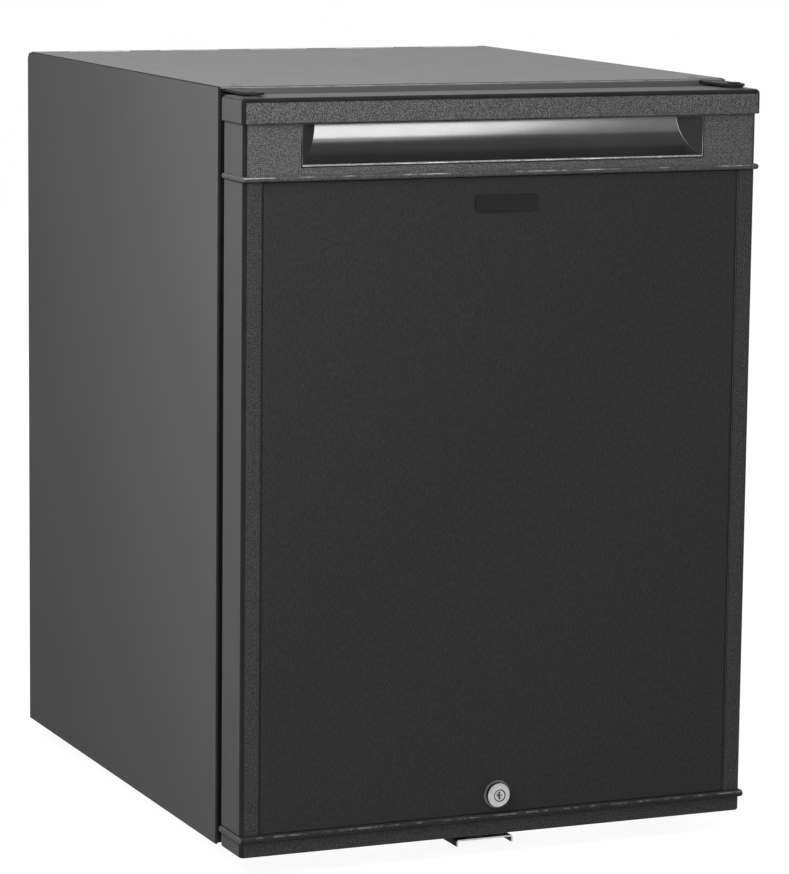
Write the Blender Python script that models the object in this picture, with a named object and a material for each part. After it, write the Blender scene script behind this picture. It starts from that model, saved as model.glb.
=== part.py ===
# Minibar fridge: steel cabinet, insulated box, right-hinged door and absorption cooling unit.
# Metres, +Z up, the front faces -Y. The origin lies on the floor under the middle of the whole depth.
import math

import bmesh
import bpy
from mathutils import Vector

# Cabinet
CABINET_WIDTH = 0.400
CABINET_HEIGHT = 0.545
CABINET_DEPTH = 0.435
FOOT_HEIGHT = 0.015
CHIMNEY_DEPTH = 0.100
SHEET = 0.001
FOLD_WIDTH = 0.014
FRONT_FOLD_HEIGHT = 0.012
REAR_FOLD_WIDTH = 0.012
REAR_FOLD_HEIGHT = 0.008
REAR_CHAMFER = 0.006
BASE_RISE = 0.001
FRAME_THICKNESS = 0.004
SIDE_WALL = 0.030
END_WALL = 0.032
LINER_WALL = 0.0015
INNER_DEPTH = 0.290
FIT = 0.0003
DRILL_REACH = 0.010
SHEET_STEP = 0.002

# Vent slots in the top panel
VENT_COUNT = 5
VENT_WIDTH = 0.009
VENT_BRIDGE = 0.019
VENT_END_MARGIN = 0.015
VENT_INSET = 0.014
VENT_CENTRE_X = 0.012

# Door
DOOR_GAP = 0.011
DOOR_THICKNESS = 0.038
DOOR_TOP_DROP = 0.0045
DOOR_BOTTOM_RISE = 0.001
LIP_HEIGHT = 0.018
HANDLE_BODY_HEIGHT = 0.0365
HANDLE_BEAD = 0.004
BOTTOM_BEAD = 0.005
BOTTOM_BODY = 0.011
BEAD_PROUD = 0.003
BEAD_OVERHANG = 0.002
STILE_WIDTH = 0.014
STILE_CHAMFER = 0.003
PANEL_GROOVE = 0.0015
PANEL_INSET = 0.0004
PROFILE_WALL = 0.002
DOOR_OPEN_SIDE_INSET = 0.012

# Finger recess in the handle profile
RECESS_LENGTH = 0.312
RECESS_HEIGHT = 0.029
RECESS_DEPTH = 0.0142
SCOOP_WALL = 0.001
SCOOP_ARC_STEPS = 8

# Badge plate, left bare
BADGE_LENGTH = 0.048
BADGE_HEIGHT = 0.012
BADGE_THICKNESS = 0.001
BADGE_DROP = 0.019
BADGE_CORNER = 0.0015

# Gasket and inner side of the door
GASKET_INSET = 0.0087
GASKET_WIDTH = 0.014
DYKE_HALF_WIDTH = 0.150
DYKE_WIDTH = 0.007
DYKE_DEPTH = 0.028
DYKE_MARGIN = 0.007
RACK_DEPTH = 0.085
RACK_WALL = 0.002
LUG_SIZE = 0.005
LOWER_RACK_RISE = 0.008
LOWER_RACK_HEIGHT = 0.072
UPPER_RACK_RISE = 0.215
UPPER_RACK_HEIGHT = 0.058

# Hinge and lock
HINGE_REACH = 0.035
PIN_RADIUS = 0.003
PIN_HEAD_RADIUS = 0.0051
PIN_LENGTH = 0.012
RUNNING_CLEARANCE = 0.00006
BUSH_RADIUS = 0.005
BUSH_FLANGE_RADIUS = 0.007
BUSH_FLANGE = 0.0015
PLATE_THICKNESS = 0.002
HINGE_ARM_RADIUS = 0.008
HINGE_PLATE_WIDTH = 0.036
HINGE_ARM_INSET = 0.022
HINGE_PLATE_DEPTH = 0.036
LOWER_PLATE_THICKNESS = 0.0015
LOWER_PLATE_WIDTH = 0.040
LOWER_PLATE_DEPTH = 0.021
LOWER_ARM_RADIUS = 0.0055
SCREW_HEAD_RADIUS = 0.004
SCREW_SHANK_RADIUS = 0.002
SCREW_SHANK_LENGTH = 0.008
SCREW_SIDE_INSET = 0.019
SCREW_FRONT_INSET = 0.017
LOCK_RISE = 0.030
LOCK_PROUD = 0.0055
LOCK_FACE_RADIUS = 0.0092
LOCK_BEVEL = 0.001
LOCK_RING_RADIUS = 0.0107
LOCK_RING_HEIGHT = 0.0012
LOCK_BARREL_RADIUS = 0.0075
LOCK_BARREL_LENGTH = 0.0245
LOCK_PLUG_RADIUS = 0.004
PLUG_TAIL = 0.0015
LOCK_NUT_THICKNESS = 0.003
LOCK_NUT_WALL = 0.0035
LOCK_POCKET_MARGIN = 0.004
KEYWAY_WIDTH = 0.0014
CAM_LENGTH = 0.040
CAM_WIDTH = 0.012
CAM_THICKNESS = 0.002
STRIKE_WIDTH = 0.045
STRIKE_THICKNESS = 0.0012
STRIKE_DROP = 0.0065
STRIKE_FLANGE_DROP = 0.0115
STRIKE_REACH = 0.029
STRIKE_SLOT_DEPTH = 0.006
STRIKE_SLOT_MARGIN = 0.002
STRIKE_FOOT = 0.038
CAM_SLOT_MARGIN = 0.0015

# Inside the compartment
SHELF_THICKNESS = 0.004
SHELF_SIDE_GAP = 0.0015
SHELF_FRONT_INSET = 0.092
SHELF_BAR = 0.003
SHELF_BAR_COUNT = 13
SHELF_RIM = 0.005
LOWER_SHELF_RISE = 0.168
UPPER_SHELF_RISE = 0.318
RIB_SIZE = 0.006
FIN_COUNT = 16
FIN_THICKNESS = 0.002
FIN_DEPTH = 0.038
EVAPORATOR_PLATE = 0.007
EVAPORATOR_WIDTH = 0.190
EVAPORATOR_HEIGHT = 0.070
EVAPORATOR_DROP = 0.013
EVAPORATOR_PIPE_RISE = 0.017
GUTTER_OVERHANG = 0.005
GUTTER_HEIGHT = 0.015
GUTTER_DEPTH = 0.055
DRAIN_RADIUS = 0.0035
DRAIN_OFFSET = 0.060
THERMOSTAT_SIZE = (0.045, 0.090, 0.060)
THERMOSTAT_DROP = 0.028
KNOB_RADIUS = 0.014
KNOB_LENGTH = 0.013
KNOB_ROUNDING = 0.002
SPINDLE_RADIUS = 0.0042
SPINDLE_LENGTH = 0.010
LAMP_SIZE = (0.060, 0.040, 0.012)
FITTINGS_FRONT_INSET = 0.090

# Absorption unit in the chimney
PIPE_RADIUS = 0.006
COIL_RADIUS = 0.008
COIL_RUNS = 6
COIL_LENGTH = 0.205
COIL_ENTRY_INSET = 0.030
COIL_EXIT_INSET = 0.045
COIL_RISE = 0.045
COIL_EXIT_RISE = 0.0615
COIL_JACKET_GAP = 0.026
COIL_BEND_SHARE = 0.4
BEND_RADIUS = 0.020
CONDENSER_FINS = 12
CONDENSER_FIN_RADIUS = 0.028
CONDENSER_FIN_THICKNESS = 0.0012
CONDENSER_TUBE_RADIUS = 0.009
CONDENSER_LENGTH = 0.240
CONDENSER_DROP = 0.053
CONDENSER_JACKET_OFFSET = 0.040
RESERVOIR_RADIUS = 0.030
RESERVOIR_LENGTH = 0.240
RESERVOIR_TUBE_GAP = 0.028
JACKET_RADIUS = 0.036
JACKET_BORE = 0.026
JACKET_HEIGHT = 0.290
JACKET_SIDE_INSET = 0.075
BOILER_TUBE_RADIUS = 0.011
BOILER_TUBE_OFFSET = 0.007
HEATER_RADIUS = 0.007
HEATER_LENGTH = 0.180
HEATER_RISE = 0.004
BOILER_TAIL = 0.006
BRACKET_THICKNESS = 0.0015
BRACKET_LEG = 0.025
LOWER_BRACKET_RISE = 0.092
LOWER_BRACKET_LEFT = 0.085
LOWER_BRACKET_RIGHT = 0.040
UPPER_BRACKET_INSET = 0.005
UPPER_BRACKET_WIDTH = 0.060
TERMINAL_BOX_SIZE = (0.085, 0.042, 0.055)
INLET_SIZE = (0.030, 0.020, 0.022)
INLET_PROUD = 0.002
INLET_RECESS = (0.024, 0.012, 0.016)
TERMINAL_BOX_INSET = 0.004
TERMINAL_BOX_RISE = 0.012
CUP_SIZE = (0.080, 0.037, 0.030)
CUP_WALL = 0.0015

# Feet
FOOT_RADIUS = 0.015
FOOT_NECK_RADIUS = 0.009
FOOT_STUD_RADIUS = 0.004
FOOT_PAD_HEIGHT = 0.008
FOOT_STUD_LENGTH = 0.012
FOOT_SIDE_INSET = 0.045
FOOT_FRONT_INSET = 0.045
FOOT_REAR_INSET = 0.022
CROSS_BAR_DEPTH = 0.042
CROSS_BAR_HEIGHT = 0.030
FOOT_ROUNDING = 0.002

# Planes and heights worked out from the sizes above
RIGHT = CABINET_WIDTH / 2
BOTTOM = FOOT_HEIGHT
TOP = FOOT_HEIGHT + CABINET_HEIGHT
TOTAL_DEPTH = CABINET_DEPTH + DOOR_GAP + DOOR_THICKNESS + max(BEAD_PROUD, LOCK_PROUD - PANEL_INSET)
BACK = TOTAL_DEPTH / 2
FRONT = BACK - CABINET_DEPTH
DOOR_BACK = FRONT - DOOR_GAP
DOOR_FRONT = DOOR_BACK - DOOR_THICKNESS
WALL_BACK = BACK - CHIMNEY_DEPTH
UNIT_Y = BACK - CHIMNEY_DEPTH / 2
INNER_HALF = CABINET_WIDTH / 2 - SIDE_WALL
INNER_BOTTOM = BOTTOM + END_WALL
INNER_TOP = TOP - END_WALL
INNER_BACK = FRONT + INNER_DEPTH
LINER_FRONT = FRONT + FRAME_THICKNESS + FIT
FOLD_INNER = CABINET_WIDTH / 2 - FOLD_WIDTH
BASE_BOTTOM = BOTTOM + BASE_RISE
BASE_TOP = BASE_BOTTOM + SHEET
VENT_PITCH = (CABINET_WIDTH - VENT_END_MARGIN) / VENT_COUNT
VENT_LENGTH = VENT_PITCH - VENT_BRIDGE

DOOR_BOTTOM = BOTTOM + DOOR_BOTTOM_RISE
BOTTOM_BEAD_LOW = DOOR_BOTTOM + BOTTOM_BODY
PANEL_BOTTOM = BOTTOM_BEAD_LOW + BOTTOM_BEAD
DOOR_TOP = TOP - DOOR_TOP_DROP
LIP_BOTTOM = DOOR_TOP - LIP_HEIGHT
HANDLE_BEAD_TOP = LIP_BOTTOM - HANDLE_BODY_HEIGHT
PANEL_TOP = HANDLE_BEAD_TOP - HANDLE_BEAD
PANEL_FACE = DOOR_FRONT + PANEL_INSET
SKIN_BACK = DOOR_FRONT + PROFILE_WALL
RECESS_TOP = LIP_BOTTOM - SCOOP_WALL
RECESS_BOTTOM = RECESS_TOP - RECESS_HEIGHT
RACK_BACK = DOOR_BACK + FIT + RACK_DEPTH
RACK_HALF = DYKE_HALF_WIDTH - DYKE_WIDTH - FIT
DYKE_BOTTOM = INNER_BOTTOM + DYKE_MARGIN * 3
DYKE_TOP = PANEL_TOP - DYKE_MARGIN
LOWER_RACK_Z = DYKE_BOTTOM + DYKE_WIDTH + LOWER_RACK_RISE
UPPER_RACK_Z = DYKE_BOTTOM + DYKE_WIDTH + UPPER_RACK_RISE

HINGE_X = RIGHT - DOOR_OPEN_SIDE_INSET
HINGE_Y = FRONT - HINGE_REACH
TOP_PLATE_HIGH = TOP - SHEET - FIT
TOP_PLATE_LOW = TOP_PLATE_HIGH - PLATE_THICKNESS
LOWER_PLATE_HIGH = BASE_BOTTOM - FIT
LOWER_PLATE_LOW = LOWER_PLATE_HIGH - LOWER_PLATE_THICKNESS
LOCK_Z = DOOR_BOTTOM + LOCK_RISE
CAM_FRONT = PANEL_FACE + LOCK_BARREL_LENGTH + 2 * FIT
CAM_BACK = CAM_FRONT + CAM_THICKNESS
STRIKE_FRONT = FRONT - STRIKE_REACH

LOWER_SHELF_Z = INNER_BOTTOM + LOWER_SHELF_RISE
UPPER_SHELF_Z = INNER_BOTTOM + UPPER_SHELF_RISE
SHELF_FRONT = FRONT + SHELF_FRONT_INSET
EVAPORATOR_TOP = INNER_TOP - EVAPORATOR_DROP
EVAPORATOR_LOW = EVAPORATOR_TOP - EVAPORATOR_HEIGHT
EVAPORATOR_BACK = INNER_BACK - FIT
EVAPORATOR_PIPE_Z = EVAPORATOR_LOW + EVAPORATOR_PIPE_RISE
GUTTER_TOP = EVAPORATOR_LOW - FIT
DRAIN_Z = GUTTER_TOP - GUTTER_HEIGHT + CUP_WALL + DRAIN_RADIUS + SHEET
DRAIN_X = -DRAIN_OFFSET
CONDENSER_Z = TOP - CONDENSER_DROP
JACKET_X = RIGHT - JACKET_SIDE_INSET
CONDENSER_RIGHT = JACKET_X - CONDENSER_JACKET_OFFSET
CONDENSER_LEFT = CONDENSER_RIGHT - CONDENSER_LENGTH
LOWER_BRACKET_TOP = BOTTOM + LOWER_BRACKET_RISE
JACKET_BOTTOM = LOWER_BRACKET_TOP + FIT
BOILER_TUBE_X = JACKET_X - BOILER_TUBE_OFFSET
HEATER_X = BOILER_TUBE_X + BOILER_TUBE_RADIUS + HEATER_RADIUS + FIT
RESERVOIR_Z = LOWER_BRACKET_TOP - BRACKET_THICKNESS - FIT - RESERVOIR_RADIUS
RESERVOIR_RIGHT = BOILER_TUBE_X - RESERVOIR_TUBE_GAP
RESERVOIR_LEFT = RESERVOIR_RIGHT - RESERVOIR_LENGTH
COIL_RIGHT = JACKET_X - JACKET_RADIUS - COIL_JACKET_GAP - COIL_RADIUS
COIL_LEFT = COIL_RIGHT - COIL_LENGTH
COIL_BOTTOM = RESERVOIR_Z + RESERVOIR_RADIUS + FIT + COIL_RISE
COIL_PITCH = (EVAPORATOR_PIPE_Z - COIL_EXIT_RISE - COIL_BOTTOM) / (COIL_RUNS - 1)

FINISHES = {
    "painted_steel": ((0.070, 0.070, 0.071), 0.42, 0.0),
    "grained_plastic": ((0.055, 0.055, 0.056), 0.62, 0.0),
    "door_skin": ((0.030, 0.030, 0.031), 0.55, 0.0),
    "gloss_black": ((0.012, 0.012, 0.013), 0.12, 0.0),
    "black_rubber": ((0.012, 0.012, 0.012), 0.75, 0.0),
    "black_plastic": ((0.015, 0.015, 0.016), 0.45, 0.0),
    "white_plastic": ((0.78, 0.79, 0.79), 0.35, 0.0),
    "clear_plastic": ((0.80, 0.83, 0.84), 0.15, 0.0),
    "foam": ((0.72, 0.66, 0.48), 0.90, 0.0),
    "galvanised": ((0.55, 0.56, 0.57), 0.45, 0.9),
    "aluminium": ((0.70, 0.71, 0.72), 0.35, 0.9),
    "chrome": ((0.80, 0.80, 0.81), 0.12, 1.0),
    "hinge_steel": ((0.06, 0.06, 0.06), 0.40, 0.5),
    "unit_paint": ((0.025, 0.025, 0.026), 0.50, 0.0),
    "brass": ((0.72, 0.55, 0.28), 0.30, 1.0),
}


def clear_scene():
    for old in list(bpy.data.objects):
        bpy.data.objects.remove(old)


def add_empty(name, place):
    empty = bpy.data.objects.new(name, None)
    empty.location = place
    bpy.context.scene.collection.objects.link(empty)
    return empty


def finish_material(name, finish):
    colour, roughness, metallic = FINISHES[finish]
    material = bpy.data.materials.new(name)
    material.use_nodes = True
    shader = material.node_tree.nodes["Principled BSDF"]
    shader.inputs["Base Color"].default_value = (*colour, 1.0)
    shader.inputs["Roughness"].default_value = roughness
    shader.inputs["Metallic"].default_value = metallic
    return material


def add_object(name, mesh_data, finish, origin=(0, 0, 0), parent=None):
    """Links a mesh or curve; with no finish it is a cutter, which stays hidden."""
    thing = bpy.data.objects.new(name, mesh_data)
    bpy.context.scene.collection.objects.link(thing)
    if finish is None:
        thing.hide_render = True
        thing.display_type = "WIRE"
    else:
        mesh_data.materials.append(finish_material(name, finish))
    place = Vector(origin)
    if parent is not None:
        thing.parent = parent
        place = place - parent.location
    thing.location = place
    return thing


def add_mesh(name, bm, finish, origin=(0, 0, 0), parent=None, smooth=False):
    bmesh.ops.translate(bm, verts=bm.verts, vec=-Vector(origin))
    bmesh.ops.recalc_face_normals(bm, faces=bm.faces)
    mesh = bpy.data.meshes.new(name)
    bm.to_mesh(mesh)
    bm.free()
    if smooth:
        mesh.shade_smooth()
        mesh.set_sharp_from_angle(angle=math.radians(35))
    return add_object(name, mesh, finish, origin, parent)


def parent_place(parent):
    return tuple(parent.location) if parent else (0, 0, 0)


def block_mesh(x, y, z):
    """A box between two values on each axis."""
    bm = bmesh.new()
    bmesh.ops.create_cube(bm, size=1.0)
    for vert in bm.verts:
        vert.co.x = max(x) if vert.co.x > 0 else min(x)
        vert.co.y = max(y) if vert.co.y > 0 else min(y)
        vert.co.z = max(z) if vert.co.z > 0 else min(z)
    return bm


def block(name, x, y, z, finish=None, parent=None):
    return add_mesh(name, block_mesh(x, y, z), finish, parent_place(parent), parent)


def prism(name, outline, across, span, finish=None, parent=None):
    """An outline drawn square to the axis named by across ("X", "Y" or "Z"), and extruded over span."""
    low, high = min(span), max(span)
    bm = bmesh.new()
    corners = []
    for u, v in outline:
        point = {"X": (low, u, v), "Y": (u, low, v), "Z": (u, v, low)}[across]
        corners.append(bm.verts.new(point))
    face = bm.faces.new(corners)
    lifted = bmesh.ops.extrude_face_region(bm, geom=[face])["geom"]
    step = {"X": (high - low, 0, 0), "Y": (0, high - low, 0), "Z": (0, 0, high - low)}[across]
    bmesh.ops.translate(bm, verts=[v for v in lifted if isinstance(v, bmesh.types.BMVert)], vec=step)
    return add_mesh(name, bm, finish, parent_place(parent), parent)


def turned(name, profile, centre, axis, sides, finish=None, parent=None, bored=False):
    """A round piece: profile holds (radius, distance along the axis), outer side first when it is bored."""
    bm = bmesh.new()
    rings = []
    for radius, along in profile:
        ring = []
        for step in range(sides):
            angle = 2 * math.pi * step / sides
            a = radius * math.cos(angle)
            b = radius * math.sin(angle)
            offset = {"X": (along, a, b), "Y": (b, along, a), "Z": (a, b, along)}[axis]
            ring.append(bm.verts.new(Vector(centre) + Vector(offset)))
        rings.append(ring)
    pairs = list(zip(rings, rings[1:]))
    if bored:
        pairs.append((rings[-1], rings[0]))
    else:
        bm.faces.new(rings[0])
        bm.faces.new(rings[-1])
    for first, second in pairs:
        for step in range(sides):
            after = (step + 1) % sides
            bm.faces.new((first[step], first[after], second[after], second[step]))
    return add_mesh(name, bm, finish, parent_place(parent), parent, smooth=True)


def frame_ring(name, outer, inner, y, finish=None, parent=None):
    """A rectangular ring: outer and inner are (left, right, low, high) in X and Z, and y is its span in Y."""
    bm = bmesh.new()
    loops = []
    for depth in (min(y), max(y)):
        for left, right, low, high in (outer, inner):
            corners = ((left, low), (right, low), (right, high), (left, high))
            loops.append([bm.verts.new((u, depth, v)) for u, v in corners])
    front_outer, front_inner, back_outer, back_inner = loops
    for first, second in (
        (front_outer, front_inner),
        (front_inner, back_inner),
        (back_inner, back_outer),
        (back_outer, front_outer),
    ):
        for step in range(4):
            after = (step + 1) % 4
            bm.faces.new((first[step], first[after], second[after], second[step]))
    return add_mesh(name, bm, finish, parent_place(parent), parent)


def bent_route(corners, radius, steps=4):
    """Points along straight runs joined by round bends of the given radius."""
    points = [Vector(corners[0])]
    for before, corner, after in zip(corners, corners[1:], corners[2:]):
        corner = Vector(corner)
        arriving = (corner - Vector(before)).normalized()
        leaving = (Vector(after) - corner).normalized()
        turn = arriving.angle(leaving)
        setback = radius * math.tan(turn / 2)
        start = corner - arriving * setback
        centre = start + (leaving - arriving * arriving.dot(leaving)).normalized() * radius
        for step in range(steps + 1):
            angle = turn * step / steps
            outward = (start - centre).normalized()
            points.append(centre + radius * (outward * math.cos(angle) + arriving * math.sin(angle)))
    points.append(Vector(corners[-1]))
    return points


def pipe(name, points, radius, finish, resolution=1):
    """A tube with closed ends along the points."""
    curve = bpy.data.curves.new(name, "CURVE")
    curve.dimensions = "3D"
    curve.bevel_depth = radius
    curve.bevel_resolution = resolution
    curve.use_fill_caps = True
    spline = curve.splines.new("POLY")
    spline.points.add(len(points) - 1)
    for spot, point in zip(spline.points, points):
        spot.co = (*point, 1.0)
    return add_object(name, curve, finish)


def boolean(target, tool, operation):
    modifier = target.modifiers.new(tool.name, "BOOLEAN")
    modifier.operation = operation
    modifier.solver = "EXACT"
    modifier.object = tool


def cut(target, tool):
    boolean(target, tool, "DIFFERENCE")


def join(target, tool):
    boolean(target, tool, "UNION")


def arc(centre, radius, start, end, steps):
    """Points on an arc in a plane, with angles in degrees."""
    found = []
    for step in range(steps + 1):
        angle = math.radians(start + (end - start) * step / steps)
        found.append((centre[0] + radius * math.cos(angle), centre[1] + radius * math.sin(angle)))
    return found


def rounded_rectangle(left, right, low, high, radius, steps=3):
    return (
        arc((right - radius, high - radius), radius, 0, 90, steps)
        + arc((left + radius, high - radius), radius, 90, 180, steps)
        + arc((left + radius, low + radius), radius, 180, 270, steps)
        + arc((right - radius, low + radius), radius, 270, 360, steps)
    )


def side_name(side):
    return "left" if side < 0 else "right"


def drill(name, radius, centre, axis, sides=16, parent=None):
    """A round cutter that runs an equal way to both sides of a place."""
    return turned(name, [(radius, -DRILL_REACH), (radius, DRILL_REACH)], centre, axis, sides, parent=parent)


# Cabinet shell


def side_panel(side):
    label = "side_panel_" + side_name(side)
    outer = side * CABINET_WIDTH / 2
    inner = outer - side * SHEET
    panel = block(label, (outer, inner), (FRONT, BACK), (BOTTOM, TOP), "painted_steel")
    front_fold = block(
        label + "_front_fold",
        (outer, side * FOLD_INNER),
        (FRONT, FRONT + SHEET),
        (BASE_BOTTOM, DOOR_TOP),
    )
    rear_fold = block(
        label + "_rear_fold",
        (outer, outer - side * REAR_FOLD_WIDTH),
        (BACK - SHEET, BACK),
        (BOTTOM + CROSS_BAR_HEIGHT + 2 * FIT, TOP - REAR_CHAMFER - REAR_FOLD_HEIGHT - FIT),
    )
    corner = prism(
        label + "_corner",
        [
            (BACK - REAR_CHAMFER, TOP),
            (BACK - REAR_CHAMFER, TOP + SHEET),
            (BACK + SHEET, TOP + SHEET),
            (BACK + SHEET, TOP - REAR_CHAMFER),
            (BACK, TOP - REAR_CHAMFER),
        ],
        "X",
        (outer - side * REAR_FOLD_WIDTH, outer + side * SHEET),
    )
    join(panel, front_fold)
    join(panel, rear_fold)
    cut(panel, corner)


def top_panel():
    half = CABINET_WIDTH / 2 - SHEET - FIT
    thin = SHEET * math.tan(math.radians(22.5))
    outline = [
        (FRONT, TOP),
        (BACK - REAR_CHAMFER, TOP),
        (BACK, TOP - REAR_CHAMFER),
        (BACK, TOP - REAR_CHAMFER - REAR_FOLD_HEIGHT),
        (BACK - SHEET, TOP - REAR_CHAMFER - REAR_FOLD_HEIGHT),
        (BACK - SHEET, TOP - REAR_CHAMFER - thin),
        (BACK - REAR_CHAMFER - thin, TOP - SHEET),
        (FRONT, TOP - SHEET),
    ]
    panel = prism("top_panel", outline, "X", (-half, half), "painted_steel")
    fold = block(
        "top_panel_front_fold",
        (-FOLD_INNER + FIT, FOLD_INNER - FIT),
        (FRONT, FRONT + SHEET),
        (TOP - FRONT_FOLD_HEIGHT, TOP - SHEET / 2),
    )
    join(panel, fold)
    for side in (-1, 1):
        notch = block(
            "top_panel_notch_" + side_name(side),
            (side * (CABINET_WIDTH / 2 - HINGE_ARM_INSET - FIT), side * CABINET_WIDTH / 2),
            (FRONT - SHEET, FRONT + SHEET_STEP),
            (TOP_PLATE_LOW - FIT, TOP - SHEET),
        )
        cut(panel, notch)
        screw_place = (side * (CABINET_WIDTH / 2 - SCREW_SIDE_INSET), FRONT + SCREW_FRONT_INSET, TOP)
        hole = drill("top_panel_hole_" + side_name(side), SCREW_HEAD_RADIUS + FIT, screw_place, "Z")
        cut(panel, hole)
    slot_y = BACK - VENT_INSET
    for index in range(VENT_COUNT):
        middle = VENT_CENTRE_X + (index - (VENT_COUNT - 1) / 2) * VENT_PITCH
        slot = prism(
            f"top_panel_vent_{index + 1}",
            rounded_rectangle(
                middle - VENT_LENGTH / 2,
                middle + VENT_LENGTH / 2,
                slot_y - VENT_WIDTH / 2,
                slot_y + VENT_WIDTH / 2,
                VENT_WIDTH * 0.49,
            ),
            "Z",
            (TOP - 3 * SHEET, TOP + SHEET),
        )
        cut(panel, slot)


def foot_places():
    x = CABINET_WIDTH / 2 - FOOT_SIDE_INSET
    return {
        "foot_front_left": (-x, FRONT + FOOT_FRONT_INSET),
        "foot_front_right": (x, FRONT + FOOT_FRONT_INSET),
        "foot_rear_left": (-x, BACK - FOOT_REAR_INSET),
        "foot_rear_right": (x, BACK - FOOT_REAR_INSET),
    }


def stud_hole(label, x, y):
    return turned(
        label,
        [(FOOT_STUD_RADIUS + FIT, -DRILL_REACH), (FOOT_STUD_RADIUS + FIT, FOOT_STUD_LENGTH + 2 * SHEET)],
        (x, y, BASE_BOTTOM),
        "Z",
        16,
    )


def base_panel():
    half = CABINET_WIDTH / 2 - SHEET - FIT
    panel = block("base_panel", (-half, half), (FRONT, WALL_BACK), (BASE_BOTTOM, BASE_TOP), "galvanised")
    fold = block(
        "base_panel_front_fold",
        (-FOLD_INNER + FIT, FOLD_INNER - FIT),
        (FRONT, FRONT + SHEET),
        (BASE_BOTTOM + SHEET / 2, BOTTOM + FRONT_FOLD_HEIGHT),
    )
    corners = []
    for side in (-1, 1):
        corner = block(
            "base_panel_corner_" + side_name(side),
            (side * (FOLD_INNER - FIT), side * CABINET_WIDTH / 2),
            (FRONT - SHEET, FRONT + SHEET + FIT),
            (BOTTOM, BASE_TOP + SHEET),
        )
        corners.append(corner)
    join(panel, fold)
    for corner in corners:
        cut(panel, corner)
    for label in ("foot_front_left", "foot_front_right"):
        cut(panel, stud_hole("base_panel_hole_" + label, *foot_places()[label]))


def rear_wall():
    half = CABINET_WIDTH / 2 - SHEET - FIT
    wall = block(
        "rear_wall",
        (-half, half),
        (WALL_BACK - SHEET, WALL_BACK),
        (BASE_TOP + FIT, TOP - SHEET - FIT),
        "galvanised",
    )
    cut(wall, wall_passage("rear_wall_pipe_hole", 0, EVAPORATOR_PIPE_Z, PIPE_RADIUS + FIT))
    cut(wall, wall_passage("rear_wall_drain_hole", DRAIN_X, DRAIN_Z, DRAIN_RADIUS + FIT))


def wall_passage(label, x, z, radius):
    """A round cutter from inside the compartment to the chimney."""
    start = INNER_BACK - EVAPORATOR_PLATE / 2
    return turned(label, [(radius, 0), (radius, WALL_BACK + SHEET - start)], (x, start, z), "Y", 16)


def rear_cross_bar():
    half = CABINET_WIDTH / 2 - SHEET - FIT
    outline = [
        (BACK, BOTTOM),
        (BACK, BOTTOM + CROSS_BAR_HEIGHT),
        (BACK - SHEET, BOTTOM + CROSS_BAR_HEIGHT),
        (BACK - SHEET, BASE_TOP),
        (BACK - CROSS_BAR_DEPTH, BASE_TOP),
        (BACK - CROSS_BAR_DEPTH, BASE_BOTTOM),
        (BACK - SHEET, BASE_BOTTOM),
        (BACK - SHEET, BOTTOM),
    ]
    bar = prism("rear_cross_bar", outline, "X", (-half, half), "painted_steel")
    for label in ("foot_rear_left", "foot_rear_right"):
        cut(bar, stud_hole("rear_cross_bar_hole_" + label, *foot_places()[label]))


def front_frame():
    low = BOTTOM + FRONT_FOLD_HEIGHT + FIT
    high = TOP - FRONT_FOLD_HEIGHT - FIT
    frame_ring(
        "front_frame",
        (-FOLD_INNER + FIT, FOLD_INNER - FIT, low, high),
        (-INNER_HALF, INNER_HALF, INNER_BOTTOM, INNER_TOP),
        (FRONT, FRONT + FRAME_THICKNESS),
        "white_plastic",
    )


def cabinet_foam():
    half = CABINET_WIDTH / 2 - SHEET - 2 * FIT
    foam = block(
        "cabinet_foam",
        (-half, half),
        (LINER_FRONT, WALL_BACK - SHEET - FIT),
        (BASE_TOP + FIT, TOP - SHEET - FIT),
        "foam",
    )
    grow = LINER_WALL + FIT
    space = block(
        "cabinet_foam_space",
        (-INNER_HALF - grow, INNER_HALF + grow),
        (FRONT, INNER_BACK + grow),
        (INNER_BOTTOM - grow, INNER_TOP + grow),
    )
    cut(foam, space)
    for side in (-1, 1):
        pocket = block(
            "cabinet_foam_pocket_" + side_name(side),
            (side * (CABINET_WIDTH / 2 - HINGE_PLATE_WIDTH - 2 * FIT), side * CABINET_WIDTH),
            (FRONT, FRONT + HINGE_PLATE_DEPTH + FIT),
            (TOP_PLATE_LOW - SCREW_SHANK_LENGTH, TOP),
        )
        cut(foam, pocket)
    cut(foam, wall_passage("cabinet_foam_pipe_hole", 0, EVAPORATOR_PIPE_Z, PIPE_RADIUS + FIT))
    cut(foam, wall_passage("cabinet_foam_drain_hole", DRAIN_X, DRAIN_Z, DRAIN_RADIUS + FIT))
    for label in ("foot_front_left", "foot_front_right"):
        cut(foam, stud_hole("cabinet_foam_hole_" + label, *foot_places()[label]))


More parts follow.
